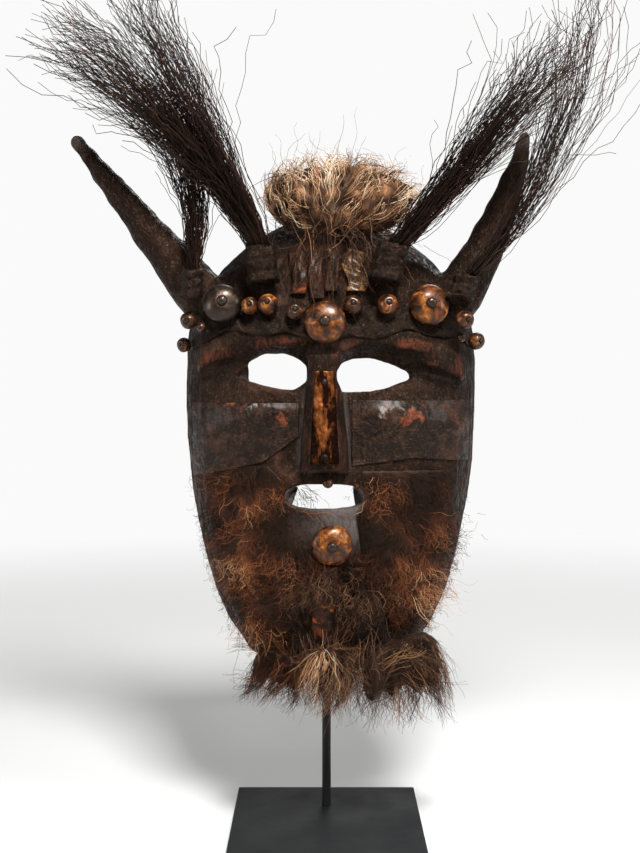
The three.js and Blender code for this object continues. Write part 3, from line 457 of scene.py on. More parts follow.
def metal_material(name, tarnish, bright, patch_mm, gloss_range):
    """A metal with tarnished and bright streaks."""
    material, tree, shader, place = new_material(name, Metallic=1)
    streak = add(tree, "ShaderNodeMapping", inputs={"Vector": place, "Scale": (1, 1, 0.3)})
    patches = noise_node(tree, streak.outputs["Vector"], patch_mm, 7, Roughness=0.7)
    shades = ramp(tree, [(0.44, tarnish), (0.7, bright)], patches)
    rim = painted(tree, "rim")
    rimmed = blend(tree, rim, shades, colour("#0f0806"))
    gloss = remap(tree, patches, 0.35, 0.65, gloss_range[0], gloss_range[1])
    dents = bump(tree, patches, 0.7, 0.6)
    connect(tree, shader, Base_Color=rimmed, Roughness=gloss, Normal=dents)
    return material


smoked_copper = metal_material("smoked_copper", "#180b06", "#a05c30", 6, (0.6, 0.38))
forged_iron = metal_material("forged_iron", "#14100f", "#3c342f", 2.5, (0.65, 0.45))

# %% [markdown]
# Horsehair and goat's fur are built as strands. Each point of a strand carries a tone, which picks a colour
# between dark root and bleached tip. Keratin has an IOR of about 1.55 and a satin shine.

# %% Horsehair and fur


def hair_material(name, shades, gloss):
    """A hair: the tone attribute picks the colour."""
    material, tree, shader, _ = new_material(
        name, Metallic=0, IOR=1.55, Roughness=gloss, Specular_IOR_Level=0.3, Specular_Tint=WARM_SHEEN)
    connect(tree, shader, Base_Color=ramp(tree, shades, painted(tree, "tone")))
    return material


horsehair = hair_material(
    "dark_horsehair", [(0, "#060404"), (1, "#8a5a3c"), (0.45, "#120b0a"), (0.8, "#35201a")], 0.45)
goat_fur = hair_material(
    "brown_goat_fur", [(0, "#0b0706"), (1, "#cba781"), (0.25, "#1b100d"), (0.48, "#482718"),
                       (0.66, "#80492a"), (0.84, "#ab7e56")], 0.5)
grey_fur = hair_material(
    "pale_goat_fur", [(0, "#0d0907"), (1, "#e2ceb2"), (0.25, "#281b15"), (0.48, "#5a4132"),
                      (0.68, "#a0714c"), (0.84, "#c6a27c")], 0.5)

# %% [markdown]
# The face and its horns are one carved block. A merged copy of the solid is rebuilt with an even 1.5 mm
# skin, so that its facets can be smoothed away: a little everywhere, and a lot where each horn grows out of
# the brow. Then the skin is cut with shallow knife facets. It keeps the solid's form to about a millimetre.

# %% Carved face
wood_face = cad_copy("mask", "wood_face")
remesh(wood_face, 1.5 * MM)
places = points_of(wood_face)
horn_root = wood_face.vertex_groups.new(name="horn_root")
carving = wood_face.vertex_groups.new(name="carving")
from_middle = np.abs(places[:, 0] - FACE_MIDDLE)
t_places = (places[:, 2] - CHIN) / FACE_HEIGHT
root_share = smooth_step(0.73, 0.79, t_places) * smooth_step(0.4, 0.62, from_middle / HALF_WIDTH)
root_share *= 1 - smooth_step(0.97, 1.02, t_places)
nose_share = (1 - smooth_step(15 * MM, 22 * MM, np.abs(places[:, 0] + 1.6 * MM)))
nose_share = nose_share * (smooth_step(0.45, 0.47, t_places) - smooth_step(0.7, 0.73, t_places))
for index, (root, nose) in enumerate(zip(root_share, nose_share)):
    if root > 0.02:
        horn_root.add([index], float(root), "REPLACE")
    carving.add([index], float(1 - 0.65 * nose), "REPLACE")
apply_modifier(wood_face, "SMOOTH", factor=0.5, iterations=70, vertex_group="horn_root")
apply_modifier(wood_face, "SMOOTH", factor=0.5, iterations=7, vertex_group="carving")
lost = np.sum((places - points_of(wood_face)) * normals_of(wood_face), axis=1)

# %% [markdown]
# A knife leaves shallow facets 6 to 10 mm across, and the plank's grain weathers into fine lines. Both are
# real shape here. The wear and the dust come from how far each point stands proud of its smoothed
# neighbourhood. A painted sheen is added to each: a warm band along the brow ridge to the wear, and a grey
# patch round the chin to the dust.

# %% Knife marks, wear, dust and painted sheen


def neighbour_mean(piece, values, rounds):
    """Averages values over the edges of a mesh, again and again."""
    edges = np.zeros(len(piece.data.edges) * 2, dtype=np.int64)
    piece.data.edges.foreach_get("vertices", edges)
    edges = edges.reshape(-1, 2)
    count = np.bincount(edges.ravel(), minlength=len(values)).astype(float)
    count = np.maximum(count, 1)
    for _ in range(rounds):
        total = np.zeros_like(values)
        np.add.at(total, edges[:, 0], values[edges[:, 1]])
        np.add.at(total, edges[:, 1], values[edges[:, 0]])
        values = 0.5 * values + 0.5 * (total.T / count).T
    return values


def proudness(piece, rounds):
    """How far each point stands out of its neighbourhood, along its normal, in metres."""
    places = points_of(piece)
    return np.sum((places - neighbour_mean(piece, places, rounds)) * normals_of(piece), axis=1)


def knife_cuts(places, size, depth, seed):
    """Scalloped facets: deep in the middle of each cell and sharp between cells."""
    shift = Vector((seed, 2.3 * seed, 4.1 * seed))
    gaps = np.array([noise.voronoi(Vector(place) / size + shift, distance_metric="DISTANCE", exponent=1)[0][0]
                     for place in places])
    return depth * (gaps - 0.5)


places = points_of(wood_face)
normals = normals_of(wood_face)
places = places + normals * neighbour_mean(wood_face, lost, 40)[:, None]
horn_share = smooth_step(0.8, 0.9, t_places) * smooth_step(0.62, 0.75, from_middle / HALF_WIDTH)
cuts = knife_cuts(places * np.array([1, 1, 0.6]), 8 * MM, 0.55 * MM, 3)
cuts += 0.5 * MM * lumps(places, 30 * MM, 1) + 0.16 * MM * lumps(places, 4 * MM, 2, (1, 1, 0.2))
bark = 0.9 * MM * lumps(places, 11 * MM, 3) + 0.5 * MM * lumps(places, 4.5 * MM, 4, (1, 1, 0.5))
cuts += horn_share * bark
move_points(wood_face, places + normals * cuts[:, None])
proud = proudness(wood_face, 14)
broad = smooth_step(0.4 * MM, 3.5 * MM, proudness(wood_face, 150))
# A warm painted sheen: a band along the front of the brow ridge, added to the wear.
brow_sheen_band = np.exp(-((t_places - 0.722 + 0.11 * (from_middle / HALF_WIDTH - 0.35) ** 2) / 0.013) ** 2)
in_front = places[:, 1] < 0
rubbed_and_sheen_share = 0.6 * smooth_step(0.3 * MM, 1.4 * MM, proud) + 0.35 * broad + 0.3 * brow_sheen_band * in_front
rubbed_and_sheen_share *= 0.65 + 1.3 * lumps(places, 12 * MM, 8)
horn_tip = smooth_step(1.12, 1.16, (places[:, 2] - CHIN) / FACE_HEIGHT)
set_attribute(wood_face, "wear_and_sheen", np.clip(rubbed_and_sheen_share * (1 - 0.85 * horn_share), 0, 1))
# A grey painted sheen round the chin, added to the dust in hollows and on the horn tips.
from_chin = (places[:, [0, 2]] - np.array([12, 212]) * MM) / (np.array([20, 13]) * MM)
chin_sheen = 1.3 * np.exp(-np.sum(from_chin ** 2, axis=1))
settled_dust_and_sheen = 0.35 * smooth_step(-0.2 * MM, -1.3 * MM, proud) + 0.7 * horn_tip + chin_sheen * in_front
set_attribute(wood_face, "dust_and_sheen", np.clip(settled_dust_and_sheen, 0, 1))
finish_piece(wood_face, smoked_wood, "carved_wood", "mask")
bare_face = front_map(wood_face)

# %% [markdown]
# Hide, band and strips are sheets that lie on the wood. A grid is laid over the place that each sheet covers
# and pressed onto the surface in front of it; its folds stand up by a stated height. Solidify
# gives it a real thickness and a small bevel rounds its cut edge.

# %% Sheets on the face


def on_front(x, z):
    """Places on the upright plane through x and z, for noise that ignores depth."""
    return np.stack([x, 0 * x, z], axis=1)


def edge_fall(share):
    """1 in the middle and 0 at both edges, rounded."""
    return np.sqrt(np.clip(1 - (2 * share - 1) ** 4, 0, 1))


def lay_sheet(name, ground, cells, place, rise, thickness):
    """A sheet over the face: place(u, v) gives shares and rise(u, v, x, z) how far it stands up."""
    bpy.ops.object.select_all(action="DESELECT")
    bpy.ops.mesh.primitive_grid_add(x_subdivisions=cells[0], y_subdivisions=cells[1], size=1)
    sheet = bpy.context.active_object
    sheet.name = sheet.data.name = name
    grid = points_of(sheet) + 0.5
    u, v = grid[:, 0], grid[:, 1]
    s, t = place(u, v)
    x, z = face_x(s), face_z(t)
    depth = ground(x, z)
    for offset in (2 * MM, 4 * MM):
        for dx, dz in ((1, 0), (-1, 0), (0, 1), (0, -1)):
            depth = depth + 0.5 * (ground(x + dx * offset, z + dz * offset) - depth) * 0.25
    move_points(sheet, np.stack([x, depth - rise(u, v, x, z), z], axis=1))
    apply_modifier(sheet, "SMOOTH", factor=0.4, iterations=2)
    apply_modifier(sheet, "SOLIDIFY", thickness=thickness, offset=-1)
    apply_modifier(sheet, "BEVEL", width=0.3 * thickness, segments=2, limit_method="ANGLE",
                   angle_limit=math.radians(50))
    return sheet


def wear_edges(sheet, low, high, strength, seed):
    """Stores wear where the sheet stands proud, broken up by noise."""
    proud = smooth_step(low, high, proudness(sheet, 8))
    patchy = smooth_step(-0.1, 0.35, lumps(points_of(sheet), 9 * MM, seed))
    set_attribute(sheet, "wear_and_sheen", np.clip(strength * proud * patchy, 0, 1))


def wrinkles(x, z, across_mm, angle, seed):
    """Irregular ridged folds from 0 to 1, about `across_mm` apart, that run at an angle."""
    turn = math.radians(angle)
    across = x * math.cos(turn) + z * math.sin(turn)
    along = z * math.cos(turn) - x * math.sin(turn)
    flat = np.stack([across, 0 * across, along], axis=1)
    ridge = 1 - 2.2 * np.abs(lumps(flat, across_mm * 1.5 * MM, seed, (1, 1, 0.3)))
    fine = 1 - 2.2 * np.abs(lumps(flat, across_mm * 0.7 * MM, seed + 1, (1, 1, 0.4)))
    return np.clip(0.75 * ridge + 0.25 * fine, 0, 1)


def puckers(x, z, s, t, width, height, seed):
    """A patch of tight wrinkles round a place on the face."""
    near = np.exp(-((x - face_x(s)) / width) ** 2 - ((z - face_z(t)) / height) ** 2)
    return near * wrinkles(x, z, 5, 12, seed)


def join_pieces(name, pieces):
    """Joins pieces into one mesh under one name."""
    bpy.ops.object.select_all(action="DESELECT")
    for piece in pieces:
        piece.select_set(True)
    bpy.context.view_layer.objects.active = pieces[0]
    bpy.ops.object.join()
    pieces[0].name = pieces[0].data.name = name
    return pieces[0]


def hide_rise(*shares):
    """The hide stands 1.3 mm off the wood and thins out to nothing at the edges where a share is 1."""
    return 1.3 * MM - 1.1 * MM * sum(smooth_step(0.8, 1, share) for share in shares) / len(shares)


def paint_highlight_spots(sheet, painted_highlights, orange_highlights, seed):
    """Painted pale highlights at (x, z, size, strength), and painted orange highlights at (x, z, size)."""
    places = points_of(sheet)
    painted_highlight = np.zeros(len(places))
    for x, z, size, strength in painted_highlights:
        near = np.hypot(places[:, 0] - x * MM, 1.3 * (places[:, 2] - z * MM)) / (size * MM)
        painted_highlight += strength * np.exp(-near ** 2) * (0.6 + 1.2 * lumps(places, 8 * MM, seed))
    orange_highlight = np.zeros(len(places))
    for x, z, size in orange_highlights:
        orange_highlight += np.exp(-((places[:, 0] - x * MM) ** 2 + (places[:, 2] - z * MM) ** 2) / (size * MM) ** 2)
    worn = np.zeros(len(places))
    sheet.data.attributes["wear_and_sheen"].data.foreach_get("value", worn)
    set_attribute(sheet, "painted_highlight", np.clip(painted_highlight, 0, 1))
    orange_highlight = smooth_step(0.25, 0.75, orange_highlight * (0.75 + 1.6 * lumps(places, 5 * MM, seed + 1)))
    set_attribute(sheet, "wear_and_sheen", np.clip(worn + 0.6 * orange_highlight, 0, 1))


left_seam = through([(-0.955, 0.44), (-0.45, 0.477), (-0.215, 0.53)])
hide_left = lay_sheet(
    "hide_cheek_left", bare_face, (90, 50),
    lambda u, v: (-0.94 + 0.725 * u, left_seam(-0.94 + 0.725 * u) * (1 - v) + 0.6 * v),
    lambda u, v, x, z: hide_rise(u, v) + 3.4 * MM * puckers(x, z, -0.5, 0.583, 13 * MM, 11 * MM, 4)
    + 0.6 * MM * lumps(on_front(x, z), 9 * MM, 5), 1.2 * MM)
wear_edges(hide_left, 0.05 * MM, 0.5 * MM, 0.9, 6)
# The pale patches and orange spots here are painted highlights.
paint_highlight_spots(hide_left, [(-50, 284, 10, 0.55), (-28, 280, 4, 0.35)], [(-29, 279, 5), (-60, 289, 7)], 6)
finish_piece(hide_left, varnished_hide, "glossy_hide", "hide_left")

right_seam = through([(0.135, 0.47), (0.55, 0.485), (0.955, 0.475)])
hide_right = lay_sheet(
    "hide_cheek_right", bare_face, (90, 50),
    lambda u, v: (0.135 + 0.805 * u, right_seam(0.135 + 0.805 * u) * (1 - v) + 0.606 * v),
    lambda u, v, x, z: hide_rise(1 - u, v) + 2.2 * MM * puckers(x, z, 0.5, 0.575, 16 * MM, 9 * MM, 7)
    + 0.6 * MM * lumps(on_front(x, z), 9 * MM, 8), 1.2 * MM)
wear_edges(hide_right, 0.05 * MM, 0.5 * MM, 1, 9)
# The pale patch and orange spots here are painted highlights.
paint_highlight_spots(hide_right, [(42, 285, 12, 0.75)], [(57, 282, 7), (50, 278, 5)], 7)
finish_piece(hide_right, varnished_hide, "glossy_hide", "hide_right")

band_curve = through([(0, 0.757), (0.2, 0.766), (0.5, 0.777), (0.7, 0.775), (0.85, 0.762), (1, 0.735)])


def band_place(u, v):
    """The band's place: along the brow for u, and across its wavy width for v."""
    s = -0.95 + 1.9 * u
    return s, band_curve(np.abs(s)) + (2 * v - 1) * (0.032 + 0.006 * np.sin(31 * u + 2 * v))


headband = lay_sheet(
    "leather_headband", bare_face, (180, 26),
    band_place,
    lambda u, v, x, z: 1.3 * MM + 3 * MM * wrinkles(x, z, 8, 25, 10) * edge_fall(v)
    + 1.1 * MM * lumps(on_front(x, z), 6 * MM, 11), 1.4 * MM)
wear_edges(headband, 0.1 * MM, 0.7 * MM, 0.5, 12)
finish_piece(headband, dry_leather, "dark_leather", "headband")
banded_face = front_map(wood_face, headband)

THONGS = ((-0.27, -0.165, 0.825), (-0.15, -0.05, 0.815), (-0.035, 0.06, 0.83))
thongs = []
for seed, (start, end, foot) in enumerate(THONGS):
    thongs.append(lay_sheet(
        f"forehead_thong_{seed + 1}", banded_face, (20, 50),
        lambda u, v: (start + (end - start) * u + 0.012 * np.sin(6 * v + 2 * seed), foot + (0.93 - foot) * v),
        lambda u, v, x, z: 1.2 * MM + 2.2 * MM * edge_fall(u) + 1.6 * MM * wrinkles(x, z, 6, -8, 13 + seed),
        1.2 * MM))
forehead_hide = join_pieces("forehead_hide", thongs)
wear_edges(forehead_hide, 0.1 * MM, 0.8 * MM, 1, 14)
finish_piece(forehead_hide, amber_hide, "glossy_hide", "forehead_hide")


def fold_place(u, v):
    """The fold's place: from the band up to the topknot, swaying a little."""
    s = 0.09 + 0.13 * u
    return s + 0.02 * np.sin(8 * v), 0.83 * (1 - v) + (0.93 - 0.1 * s) * v


forehead_fold = lay_sheet(
    "forehead_fold", banded_face, (30, 50), fold_place,
    lambda u, v, x, z: 2 * MM + 3.2 * MM * edge_fall(u) * (0.45 + 0.25 * np.sin(17 * v + 3 * u))
    + 2 * MM * wrinkles(x, z, 6, 30, 16), 1.3 * MM)
wear_edges(forehead_fold, 0.0 * MM, 0.6 * MM, 1, 15)
finish_piece(forehead_fold, pale_fold, "pale_hide", "forehead_fold")

# %% [markdown]
# The wraps are strips of leather wound round the roots of the hair. Each starts as a copy of its solid,
# rebuilt fine enough to carry the winding: the surface steps out along a spiral, as overlapped turns do.

# %% Leather wraps
BUNDLES = {
    "left_outer": {"lean": 4, "turns_mm": 6.5},
    "left_inner": {"lean": -5, "turns_mm": 8},
    "right_inner": {"lean": 14, "turns_mm": 8},
    "right_outer": {"lean": 20, "turns_mm": 6.5},
}


def lean_axis(degrees):
    angle = math.radians(degrees)
    return np.array(Vector((math.sin(angle), -0.08, math.cos(angle))).normalized())


for seed, (name, facts) in enumerate(BUNDLES.items()):
    wrap = cad_copy(f"wrap_{name}", f"leather_wrap_{name}")
    remesh(wrap, 0.95 * MM)
    apply_modifier(wrap, "SMOOTH", factor=0.5, iterations=6)
    places, normals = points_of(wrap), normals_of(wrap)
    axis = lean_axis(facts["lean"])
    middle = places.mean(axis=0)
    along = (places - middle) @ axis
    side = np.cross(axis, [0, 1, 0])
    angle = np.arctan2((places - middle) @ np.cross(side, axis), (places - middle) @ side)
    spiral = (along / (facts["turns_mm"] * MM) + angle / (2 * math.pi)) % 1
    spiral = (spiral + 0.25 * lumps(places, 12 * MM, 24 + seed)) % 1
    out = 1.4 * MM * (spiral ** 0.7 - 0.5) * (1 - smooth_step(0.88, 1, spiral))
    out += 1.4 * MM * lumps(places, 8 * MM, 20 + seed) + 0.8 * MM * lumps(places, 3 * MM, 28 + seed)
    move_points(wrap, places + normals * out[:, None])
    facts["top"] = places[along > along.max() - 1.2 * MM].mean(axis=0)
    set_attribute(wrap, "wear_and_sheen", np.clip(smooth_step(0.1 * MM, 0.5 * MM, proudness(wrap, 6)) * 0.5, 0, 1))
    finish_piece(wrap, dry_leather, "dark_leather", f"wrap_{name}")
    print(name, "hair starts at", [round(v, 4) for v in facts["top"]])

# %% [markdown]
# A boss is a turned dome with a peg through its middle, and a bead is a small one with a tiny peg. Each is an
# outline of radius and height, spun about its axis, then stood on its seat: the flat foot of its solid
# gives the place and the way that it faces.

# %% Turned pieces


def seat_of(node):
    """The middle of a solid's largest flat face, and the way out of it, through the piece."""
    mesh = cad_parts[node].data
    groups = {}
    for face in mesh.polygons:
        key = tuple(round(v, 2) for v in face.normal)
        groups.setdefault(key, []).append(face)
    faces = max(groups.values(), key=lambda group: sum(face.area for face in group))
    area = sum(face.area for face in faces)
    middle = sum((face.center * face.area for face in faces), Vector()) / area
    return middle, -faces[0].normal


def turn_piece(name, outline, steps, foot, direction):
    """Spins an outline of (radius, height) pairs about its axis and stands it on its foot."""
    mesh = bpy.data.meshes.new(name)
    mesh.from_pydata([(radius, 0, height) for radius, height in outline],
                     [(k, k + 1) for k in range(len(outline) - 1)], [])
    piece = bpy.data.objects.new(name, mesh)
    bpy.context.scene.collection.objects.link(piece)
    select_only(piece)
    bpy.ops.object.mode_set(mode="EDIT")
    bpy.ops.mesh.select_all(action="SELECT")
    bpy.ops.mesh.spin(steps=steps, angle=2 * math.pi, center=(0, 0, 0), axis=(0, 0, 1))
    bpy.ops.mesh.select_all(action="SELECT")
    bpy.ops.mesh.remove_doubles(threshold=1e-6)
    bpy.ops.mesh.normals_make_consistent(inside=False)
    bpy.ops.object.mode_set(mode="OBJECT")
    turn = Vector((0, 0, 1)).rotation_difference(Vector(direction)).to_matrix().to_4x4()
    piece.data.transform(Matrix.Translation(foot) @ turn)
    return piece


def rounded(outline, rounds=2):
    """Cuts the corners of an outline again and again, keeping its two ends."""
    for _ in range(rounds):
        cut = [outline[0]]
        for (r0, h0), (r1, h1) in zip(outline, outline[1:]):
            for share in (0.25, 0.75):
                cut.append(((1 - share) * r0 + share * r1, (1 - share) * h0 + share * h1))
        outline = cut + [outline[-1]]
    return outline


def rough_up(piece, depth, size, seed):
    """Makes a turned piece slightly uneven, as handwork is."""
    places = points_of(piece)
    move_points(piece, places + normals_of(piece) * (depth * lumps(places, size, seed))[:, None])


BOSS_RADIUS = 12.75 * MM
BOSS_HEIGHT = 9 * MM
PEG = [(0, 0), (3.4 * MM, 0), (3.5 * MM, 2.6 * MM), (2.7 * MM, 4.4 * MM), (1.4 * MM, 5 * MM), (0, 5.1 * MM)]
NAIL_RISE = 1.5 * MM
NAIL_HEAD = [(0, -NAIL_RISE), (2 * MM, -NAIL_RISE), (2.3 * MM, 0), (1.9 * MM, 1 * MM), (1 * MM, 1.6 * MM),
             (0, 1.75 * MM)]
BOSSES = {
    "brow_boss_left": ("brow_pin_left", 0.93, dark_lacquer, "dark_lacquer"),
    "brow_boss_centre": ("brow_pin_centre", 1.02, amber_lacquer, "amber_lacquer"),
    "brow_boss_right": ("brow_pin_right", 0.98, amber_lacquer, "amber_lacquer"),
    "chin_boss": ("chin_pin", 1, amber_lacquer, "amber_lacquer"),
}
for seed, (node, (pin_node, size, material, slot)) in enumerate(BOSSES.items()):
    foot, direction = seat_of(node)
    radius, height = BOSS_RADIUS * size, BOSS_HEIGHT
    knob = [(0, 0), (radius * 0.86, 0), (radius * 1.02, height * 0.16), (radius * 1.03, height * 0.4),
            (radius * 0.9, height * 0.7), (radius * 0.66, height * 0.92), (radius * 0.36, height * 1.04),
            (0, height * 1.05)]
    boss = turn_piece(f"turned_{node}", rounded(knob), 32, foot, direction)
    rough_up(boss, 0.8 * MM, 9 * MM, 30 + seed)
    finish_piece(boss, material, slot, node)
    well = foot + direction * height * 0.8
    pin = turn_piece(f"peg_{node}", rounded(PEG, 1), 24, well, direction)
    rough_up(pin, 0.15 * MM, 3 * MM, 35 + seed)
    finish_piece(pin, dark_lacquer, "dark_lacquer", pin_node)

bead_nodes = [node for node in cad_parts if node.startswith("brow_bead_")]
bead_nodes.sort(key=lambda node: int(node.split("_")[-1]))
for seed, node in enumerate(bead_nodes + ["lip_bead"]):
    foot, direction = seat_of(node)
    low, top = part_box(node)
    radius = (top.x - low.x) / 2
    ball = [(0, 0), (radius * 0.66, 0), (radius * 1.04, radius * 0.5), (radius * 1.03, radius * 1.1),
            (radius * 0.62, radius * 1.66), (radius * 0.3, radius * 1.72), (radius * 0.22, radius * 1.6),
            (radius * 0.2, radius * 1.86), (0, radius * 1.88)]
    bead = turn_piece(f"turned_{node}", rounded(ball), 22, foot, direction)
    rough_up(bead, 0.4 * MM, 5 * MM, 40 + seed)
    from_foot = points_of(bead) - np.array(foot)
    high = from_foot @ np.array(direction)
    off_axis = np.linalg.norm(from_foot - high[:, None] * np.array(direction), axis=1)
    set_attribute(bead, "peg", ((off_axis < 0.3 * radius) & (high > radius)).astype(float))
    shade = amber_lacquer if node in ("brow_bead_4", "brow_bead_5", "brow_bead_8") else brown_lacquer
    finish_piece(bead, shade, "amber_lacquer", node)

# %% [markdown]
# The copper strip is thin sheet, so its solid only needs a softened edge and a few hammer dents. Its nails
# are forged heads, turned like the beads.

# %% Nose strip and nails
copper_strip = cad_copy("nose_strip", "copper_nose_strip")
remesh(copper_strip, 0.6 * MM)
apply_modifier(copper_strip, "SMOOTH", factor=0.5, iterations=4)
places = points_of(copper_strip)
dents = 0.3 * MM * lumps(places, 6 * MM, 51) + 0.12 * MM * lumps(places, 2 * MM, 52)
move_points(copper_strip, places + normals_of(copper_strip) * dents[:, None])
strip_middle = (places[:, 0].min() + places[:, 0].max()) / 2
from_edge = np.abs(places[:, 0] - strip_middle) / np.ptp(places[:, 0]) * 2
set_attribute(copper_strip, "rim", smooth_step(0.42, 0.92, from_edge + 0.4 * lumps(places, 6 * MM, 53)))
finish_piece(copper_strip, smoked_copper, "copper_strip", "nose_strip")
for seed, node in enumerate(("nose_nail_top", "nose_nail_bottom")):
    low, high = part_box(node)
    middle = (low + high) / 2
    head = Vector((middle.x, low.y + NAIL_RISE, high.z - 2.6 * MM))
    nail = turn_piece(f"forged_{node}", rounded(NAIL_HEAD, 1), 20, head, Vector((0, -1, 0)))
    rough_up(nail, 0.12 * MM, 2 * MM, 54 + seed)
    finish_piece(nail, forged_iron, "nail_iron", node)

# %% [markdown]
# Hair is the one thing here that no primitive gives. Each strand is a thin three-sided tube along a path,
# closed at both ends, and a whole bundle is one mesh. A strand follows the same rule as the solid locks:
# its lean turns from the lean at its root to the lean at its tip. Real horsehair is 0.2 mm thick; it is
# drawn at 0.5 mm so that fewer strands cover as well, and it kinks at every centimetre or so, as old hair
# does. Strands that would reach too far forward are bent back behind one plane.

# %% Strands
FRONT_LIMIT = -70 * MM
TUBE_SIDES = 3


def strand_mesh(name, paths, root_radius, tip_radius, tones):
    """One mesh of three-sided tubes: paths are (strands, points, 3), tones (strands, points)."""
    strands, count, _ = paths.shape
    behind = paths[:, :, 1] - FRONT_LIMIT
    paths[:, :, 1] = FRONT_LIMIT + np.maximum(behind, 0.1 * behind)
    ahead = np.gradient(paths, axis=1)
    ahead /= np.linalg.norm(ahead, axis=2, keepdims=True) + 1e-12
    side = np.cross(ahead[:, 0], np.array([0.31, -0.9, 0.3]))
    side /= np.linalg.norm(side, axis=1, keepdims=True) + 1e-12
    share = np.linspace(0, 1, count)
    radii = (root_radius[:, None] * (1 - share) + tip_radius[:, None] * share)
    rings = np.zeros((strands, count, TUBE_SIDES, 3))
    for k in range(count):
        side = side - ahead[:, k] * np.sum(side * ahead[:, k], axis=1, keepdims=True)
        side /= np.linalg.norm(side, axis=1, keepdims=True) + 1e-12
        up = np.cross(ahead[:, k], side)
        for corner in range(TUBE_SIDES):
            angle = 2 * math.pi * corner / TUBE_SIDES
            offset = side * math.cos(angle) + up * math.sin(angle)
            rings[:, k, corner] = paths[:, k] + offset * radii[:, k, None]
    first = np.arange(strands) * count * TUBE_SIDES
    last = first + (count - 1) * TUBE_SIDES
    ring = first[:, None, None] + np.arange(count - 1)[None, :, None] * TUBE_SIDES
    corner = np.arange(TUBE_SIDES)[None, None, :]
    here = ring + corner
    following = ring + (corner + 1) % TUBE_SIDES
    quads = np.stack([here, following, following + TUBE_SIDES, here + TUBE_SIDES], axis=-1).reshape(-1, 4)
    caps = np.concatenate([np.stack([first + 2, first + 1, first], axis=1),
                           np.stack([last, last + 1, last + 2], axis=1)])
    mesh = bpy.data.meshes.new(name)
    mesh.vertices.add(strands * count * TUBE_SIDES)
    mesh.vertices.foreach_set("co", rings.ravel())
    mesh.loops.add(quads.size + caps.size)
    mesh.loops.foreach_set("vertex_index", np.concatenate([quads.ravel(), caps.ravel()]))
    mesh.polygons.add(len(quads) + len(caps))
    starts = np.concatenate([np.arange(len(quads)) * 4, quads.size + np.arange(len(caps)) * 3])
    mesh.polygons.foreach_set("loop_start", starts)
    mesh.update(calc_edges=True)
    piece = bpy.data.objects.new(name, mesh)
    bpy.context.scene.collection.objects.link(piece)
    set_attribute(piece, "tone", np.repeat(np.clip(tones, 0, 1).ravel(), TUBE_SIDES))
    return piece


def lock_paths(roots, root_lean, tip_lean, ahead, length, steps, kinks):
    """The solid locks' rule for many strands at once, with a kink of some degrees at each step."""
    along = (np.arange(steps) + 0.5) / steps
    lean = root_lean[:, None] + (tip_lean - root_lean)[:, None] * along + kinks[0]
    tip = ahead[:, None] * np.sin(2 * along) + kinks[1]
    lean, tip = np.radians(lean), np.radians(tip)
    stride = (length / steps)[:, None]
    moves = np.stack([np.sin(lean) * np.cos(tip), -np.sin(tip), np.cos(lean) * np.cos(tip)], axis=-1)
    travelled = np.cumsum(moves * stride[:, :, None], axis=1)
    return np.concatenate([roots[:, None, :], roots[:, None, :] + travelled], axis=1)


def unit(vectors):
    return vectors / (np.linalg.norm(vectors, axis=-1, keepdims=True) + 1e-12)


# %% [markdown]
# Each bundle fans out in a few lobes: a lobe is the lean of its tips, their spread and its share of the
# strands. Strands near each other share a lock, whose bend and wave they follow, and a few leave it
# altogether: those are the fly-away hairs.

